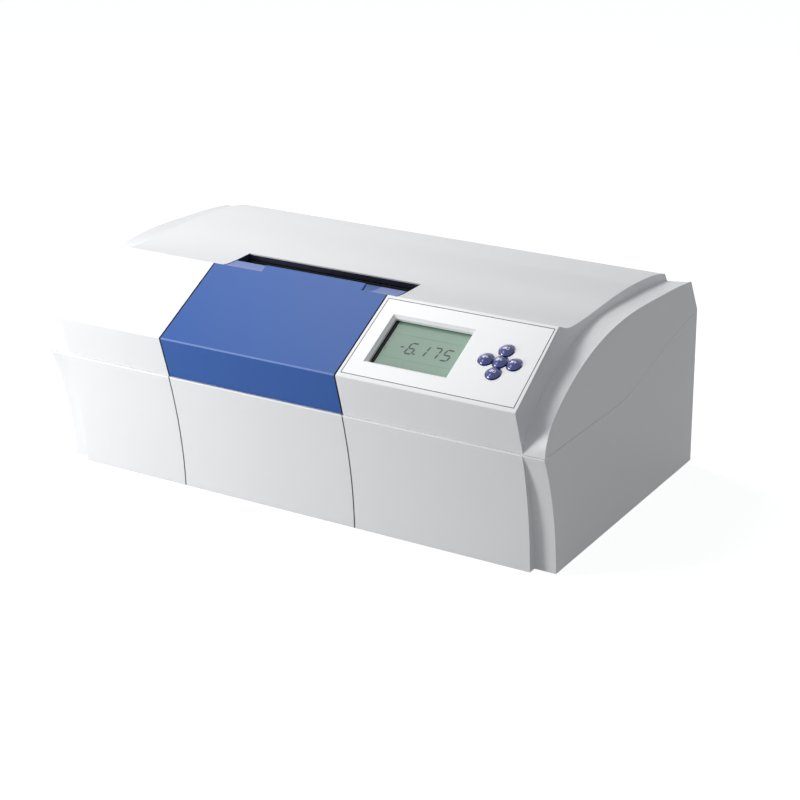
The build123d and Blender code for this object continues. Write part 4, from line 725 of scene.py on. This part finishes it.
class POLARIMETER_OT_figures(bpy.types.Operator):
    """Seven-stroke figures, rules and ticks on the display glass"""

    bl_idname = "polarimeter.figures"
    bl_label = "Display figures"

    def execute(self, context):
        s = context.scene.polarimeter_reading
        half = s.stroke_width / 2
        corner = np.array(s.last_corner)
        size = np.array([s.figure_width, s.figure_height])
        share = half * 0.35                      # strokes stop short of the corner that they share
        dot_aside, dot_half = 2.8 * MM, half * 1.7
        minus_from, minus_past = 4.2 * MM, 1.4 * MM
        starts, ends, halves = [], [], []
        count = 0
        for mark in reversed(s.reading):
            if mark == ".":
                dot = corner - [count * s.figure_pitch - s.figure_width - dot_aside, -half]
                starts.append(dot - [dot_half, 0.0])
                ends.append(dot + [dot_half, 0.0])
                halves.append(half * 1.2)
                continue
            base = corner - [count * s.figure_pitch, 0.0]
            for stroke in FIGURES[mark]:
                low, high = (base + np.array(end) * size for end in STROKES[stroke])
                if mark == "-":
                    low, high = low + [minus_from, 0.0], high + [minus_past, 0.0]
                run = (high - low) / np.linalg.norm(high - low)
                starts.append(low + run * share)
                ends.append(high - run * share)
                halves.append(half)
            count += 1
        # each point slides sideways in step with its height over the foot of the figures
        flat, faces = bars(starts, ends, halves)
        flat[:, 0] += (flat[:, 1] - corner[1]) * math.tan(s.lean)
        points = on_slope(flat[:, 0], flat[:, 1], PRINT_LIFT - GLASS_DEPTH)
        ink = print_finish("display_ink", (0.022, 0.030, 0.033))
        make_print("display_figures", points, faces, ink, "housing", PRINT_THICK)

        lines = np.array(RULES) * MM
        flat, faces = bars(lines[:, 0:2], lines[:, 2:4], lines[:, 4])
        points = on_slope(flat[:, 0], flat[:, 1], PRINT_LIFT - GLASS_DEPTH)
        faint = print_finish("display_rule", (0.12, 0.17, 0.14))
        make_print("display_rules", points, faces, faint, "housing", RULE_THICK)
        return {"FINISHED"}


class POLARIMETER_OT_keys(bpy.types.Operator):
    """Glossy key caps and the white marks printed on their domes"""

    bl_idname = "polarimeter.keys"
    bl_label = "Keys"

    def execute(self, context):
        s = context.scene.polarimeter_finishes
        dress(moulded_finish("key_navy", s.key_colour, rough=0.22, grain=2400.0, depth=0.004 * MM,
                             spread=0.08, coat=0.7), *("key_" + side for side in KEY_STEPS))
        white = print_finish("legend_white", (0.82, 0.83, 0.86), 0.35)
        for side, (step_x, step_up) in KEY_STEPS.items():
            left, degrees, right = KEY_MARKS[side]
            angle = math.radians(degrees)
            turn = np.array([[math.cos(angle), math.sin(angle)], [-math.sin(angle), math.cos(angle)]])
            strokes = np.concatenate([np.array(left) @ turn - MARK_ASIDE, np.array(right) + MARK_ASIDE])
            flat, faces = dome_strokes((strokes + MARK_RAISE) * MM, MARK_HALF)
            across = flat[:, 0] + KEY_CENTRE[0] + step_x * KEY_PITCH
            up = flat[:, 1] + KEY_CENTRE[1] + step_up * KEY_PITCH
            points = on_slope(across, up, on_dome(flat) + PRINT_LIFT)
            make_print("legend_" + side, points, faces, white, "key_" + side + "_cap",
                       PRINT_THICK)
        return {"FINISHED"}


class POLARIMETER_OT_optics(bpy.types.Operator):
    """Finish of the optical bench and of what stands on it"""

    bl_idname = "polarimeter.optics"
    bl_label = "Optics finish"

    def execute(self, context):
        dress(brushed_finish("bench_alloy", (0.68, 0.69, 0.71), 0.38), "optical_bench", "bench_posts")
        dress(powder_finish("lamp_black", (0.02, 0.02, 0.022), 0.55), "lamp_house")
        dress(moulded_finish("ceramic", (0.70, 0.67, 0.60), rough=0.5), "lamp_socket", "modulator_bobbin")
        dress(glass_finish("clear_glass", (0.93, 0.95, 0.97)), "spectral_lamp", "condenser_lens",
              "polarizer_prism", "analyzer_prism", "photomultiplier")
        dress(glass_finish("amber_glass", (0.85, 0.42, 0.05), clear=0.7), "colour_filter")
        dress(wound_finish("copper_wire", (0.62, 0.26, 0.12)), "modulator_coil", "transformer_winding")
        dress(turned_finish("machined_brass", (0.72, 0.54, 0.26)), "analyzer_wheel", "drive_pinion")
        dress(brushed_finish("bracket_steel", (0.58, 0.59, 0.61), 0.36), "motor_bracket")
        dress(powder_finish("motor_grey", (0.06, 0.06, 0.066), 0.45), "servo_motor")
        return {"FINISHED"}


class POLARIMETER_OT_electronics(bpy.types.Operator):
    """Finish of the boards, the transformer and the connectors at the back"""

    bl_idname = "polarimeter.electronics"
    bl_label = "Electronics finish"

    def execute(self, context):
        dress(moulded_finish("chip_black", (0.014, 0.014, 0.015), rough=0.48), "board_chips")
        dress(moulded_finish("sleeve_blue", (0.03, 0.04, 0.10), rough=0.3, coat=0.4), "board_capacitors")
        dress(stacked_finish("core_iron", (0.09, 0.09, 0.10)), "transformer_core")
        dress(brushed_finish("rear_steel", (0.55, 0.56, 0.58), 0.4, (60.0, 60.0, 1.0)), "rear_panel")
        dress(turned_finish("rear_screw", (0.66, 0.66, 0.68)), "rear_panel_screws")
        dress(moulded_finish("socket_black", (0.015, 0.015, 0.016)), "power_inlet", "fuse_holder",
              "switch_frame", "serial_socket")
        dress(moulded_finish("rocker_black", (0.02, 0.02, 0.021), rough=0.3), "power_rocker")
        return {"FINISHED"}


class POLARIMETER_OT_studio(bpy.types.Operator):
    """Pale floor, soft lamps, room light and the camera"""

    bl_idname = "polarimeter.studio"
    bl_label = "Studio"

    def execute(self, context):
        s = context.scene.polarimeter_studio
        context.scene.view_settings.view_transform = "Standard"
        self.floor()
        context.scene.world = self.room(s.room_level)
        self.lamp("key_lamp", (-0.9, -1.1, 1.3), (-0.1, -0.1, 0.2), 0.6, s.key_power)
        self.lamp("front_lamp", (-0.85, -0.95, 0.35), (-0.2, -0.15, 0.12), 0.4, s.front_power)
        self.lamp("top_lamp", (-0.5, 0.2, 1.2), (-0.1, 0.0, 0.2), 0.6, s.top_power)
        context.scene.camera = self.camera(s.lens)
        return {"FINISHED"}

    def floor(self, wide=4.0, back=6.0, columns=9, rows=41, bend=3.0, rise=0.35):
        """One sheet: flat as far as the bend, and behind it as high as rise times the square of the
        distance from the bend."""
        g = Graph("floor_white")
        white = g.surface(
            Base_Color=(0.45, 0.45, 0.45), Roughness=0.9, Specular_IOR_Level=0.1,
            Emission_Color=g.mix(g.seen(), (0.0, 0.0, 0.0), (0.84, 0.84, 0.84)), Emission_Strength=1.0,
        )
        x, y = np.meshgrid(np.linspace(-wide, wide, columns), np.linspace(-wide, back, rows))
        points = np.stack([x, y, np.maximum(y - bend, 0.0) ** 2 * rise], axis=-1)
        first = np.arange(rows - 1)[:, None] * columns + np.arange(columns - 1)[None, :]
        faces = np.stack([first, first + 1, first + columns + 1, first + columns], axis=-1).reshape(-1, 4)
        floor = link("floor", make_mesh("floor", points, faces, white))
        floor.data.shade_smooth()

    def room(self, level):
        """Even light at the given level, and white where the room itself is seen."""
        g = Graph("room", "worlds", "ShaderNodeOutputWorld")
        dim = g.add("ShaderNodeBackground", {}, {"Color": (0.93, 0.96, 1.0, 1.0), "Strength": level})
        white = g.add("ShaderNodeBackground", {}, {"Color": (1.0, 1.0, 1.0, 1.0), "Strength": 1.0})
        return g.close(g.add("ShaderNodeMixShader", {}, {0: g.seen(), 1: dim, 2: white}))

    def lamp(self, name, place, target, size, power):
        """A square soft light that looks from its place to its target."""
        data = bpy.data.lights.new(name, "AREA")
        data.size = size
        data.energy = power
        holder = link(name, data)
        holder.location = place
        holder.rotation_mode = "QUATERNION"
        holder.rotation_quaternion = (Vector(target) - Vector(place)).to_track_quat("-Z", "Y")

    def camera(self, lens):
        """The photograph's view: its axes follow from the three angles."""
        azimuth, elevation, roll = (math.radians(angle) for angle in CAMERA_TURN)
        forward = np.array([-math.sin(azimuth) * math.cos(elevation),
                            math.cos(azimuth) * math.cos(elevation), -math.sin(elevation)])
        level = np.array([math.cos(azimuth), math.sin(azimuth), 0.0])
        over = np.cross(level, forward)
        right = level * math.cos(roll) + over * math.sin(roll)
        up = over * math.cos(roll) - level * math.sin(roll)
        data = bpy.data.cameras.new("camera")
        data.lens = lens
        data.sensor_width = 36.0
        data.clip_start = 0.05
        data.clip_end = 50.0
        camera = link("camera", data)
        camera.location = CAMERA_PLACE
        camera.rotation_mode = "QUATERNION"
        turn = Matrix((right.tolist(), up.tolist(), (-forward).tolist())).transposed()
        camera.rotation_quaternion = turn.to_quaternion()
        return camera


class POLARIMETER_PT_panel(bpy.types.Panel):
    """The polarimeter's steps in the sidebar"""

    bl_idname = "POLARIMETER_PT_panel"
    bl_label = "Polarimeter"
    bl_space_type = "VIEW_3D"
    bl_region_type = "UI"
    bl_category = "Polarimeter"

    def draw(self, context):
        for group in (context.scene.polarimeter_finishes, context.scene.polarimeter_reading,
                      context.scene.polarimeter_studio):
            for key in group.bl_rna.properties.keys():
                if key not in ("rna_type", "name"):
                    self.layout.prop(group, key)
        for step in STEPS:
            self.layout.operator(step.bl_idname)


STEPS = (
    POLARIMETER_OT_studio,
    POLARIMETER_OT_case,
    POLARIMETER_OT_lid,
    POLARIMETER_OT_chamber,
    POLARIMETER_OT_panel,
    POLARIMETER_OT_figures,
    POLARIMETER_OT_keys,
    POLARIMETER_OT_optics,
    POLARIMETER_OT_electronics,
)
GROUPS = {
    "polarimeter_finishes": PolarimeterFinishes,
    "polarimeter_reading": PolarimeterReading,
    "polarimeter_studio": PolarimeterStudio,
}


def register():
    for kind in (*GROUPS.values(), *STEPS, POLARIMETER_PT_panel):
        bpy.utils.register_class(kind)
    for key, kind in GROUPS.items():
        setattr(bpy.types.Scene, key, bpy.props.PointerProperty(type=kind))


def unregister():
    for key in GROUPS:
        delattr(bpy.types.Scene, key)
    for kind in reversed((*GROUPS.values(), *STEPS, POLARIMETER_PT_panel)):
        bpy.utils.unregister_class(kind)


def main():
    register()
    bpy.ops.polarimeter.studio()
    bpy.ops.polarimeter.case()
    bpy.ops.polarimeter.lid()
    bpy.ops.polarimeter.chamber()
    bpy.ops.polarimeter.panel()
    bpy.ops.polarimeter.figures()
    bpy.ops.polarimeter.keys()
    bpy.ops.polarimeter.optics()
    bpy.ops.polarimeter.electronics()


if __name__ == "__main__":
    main()
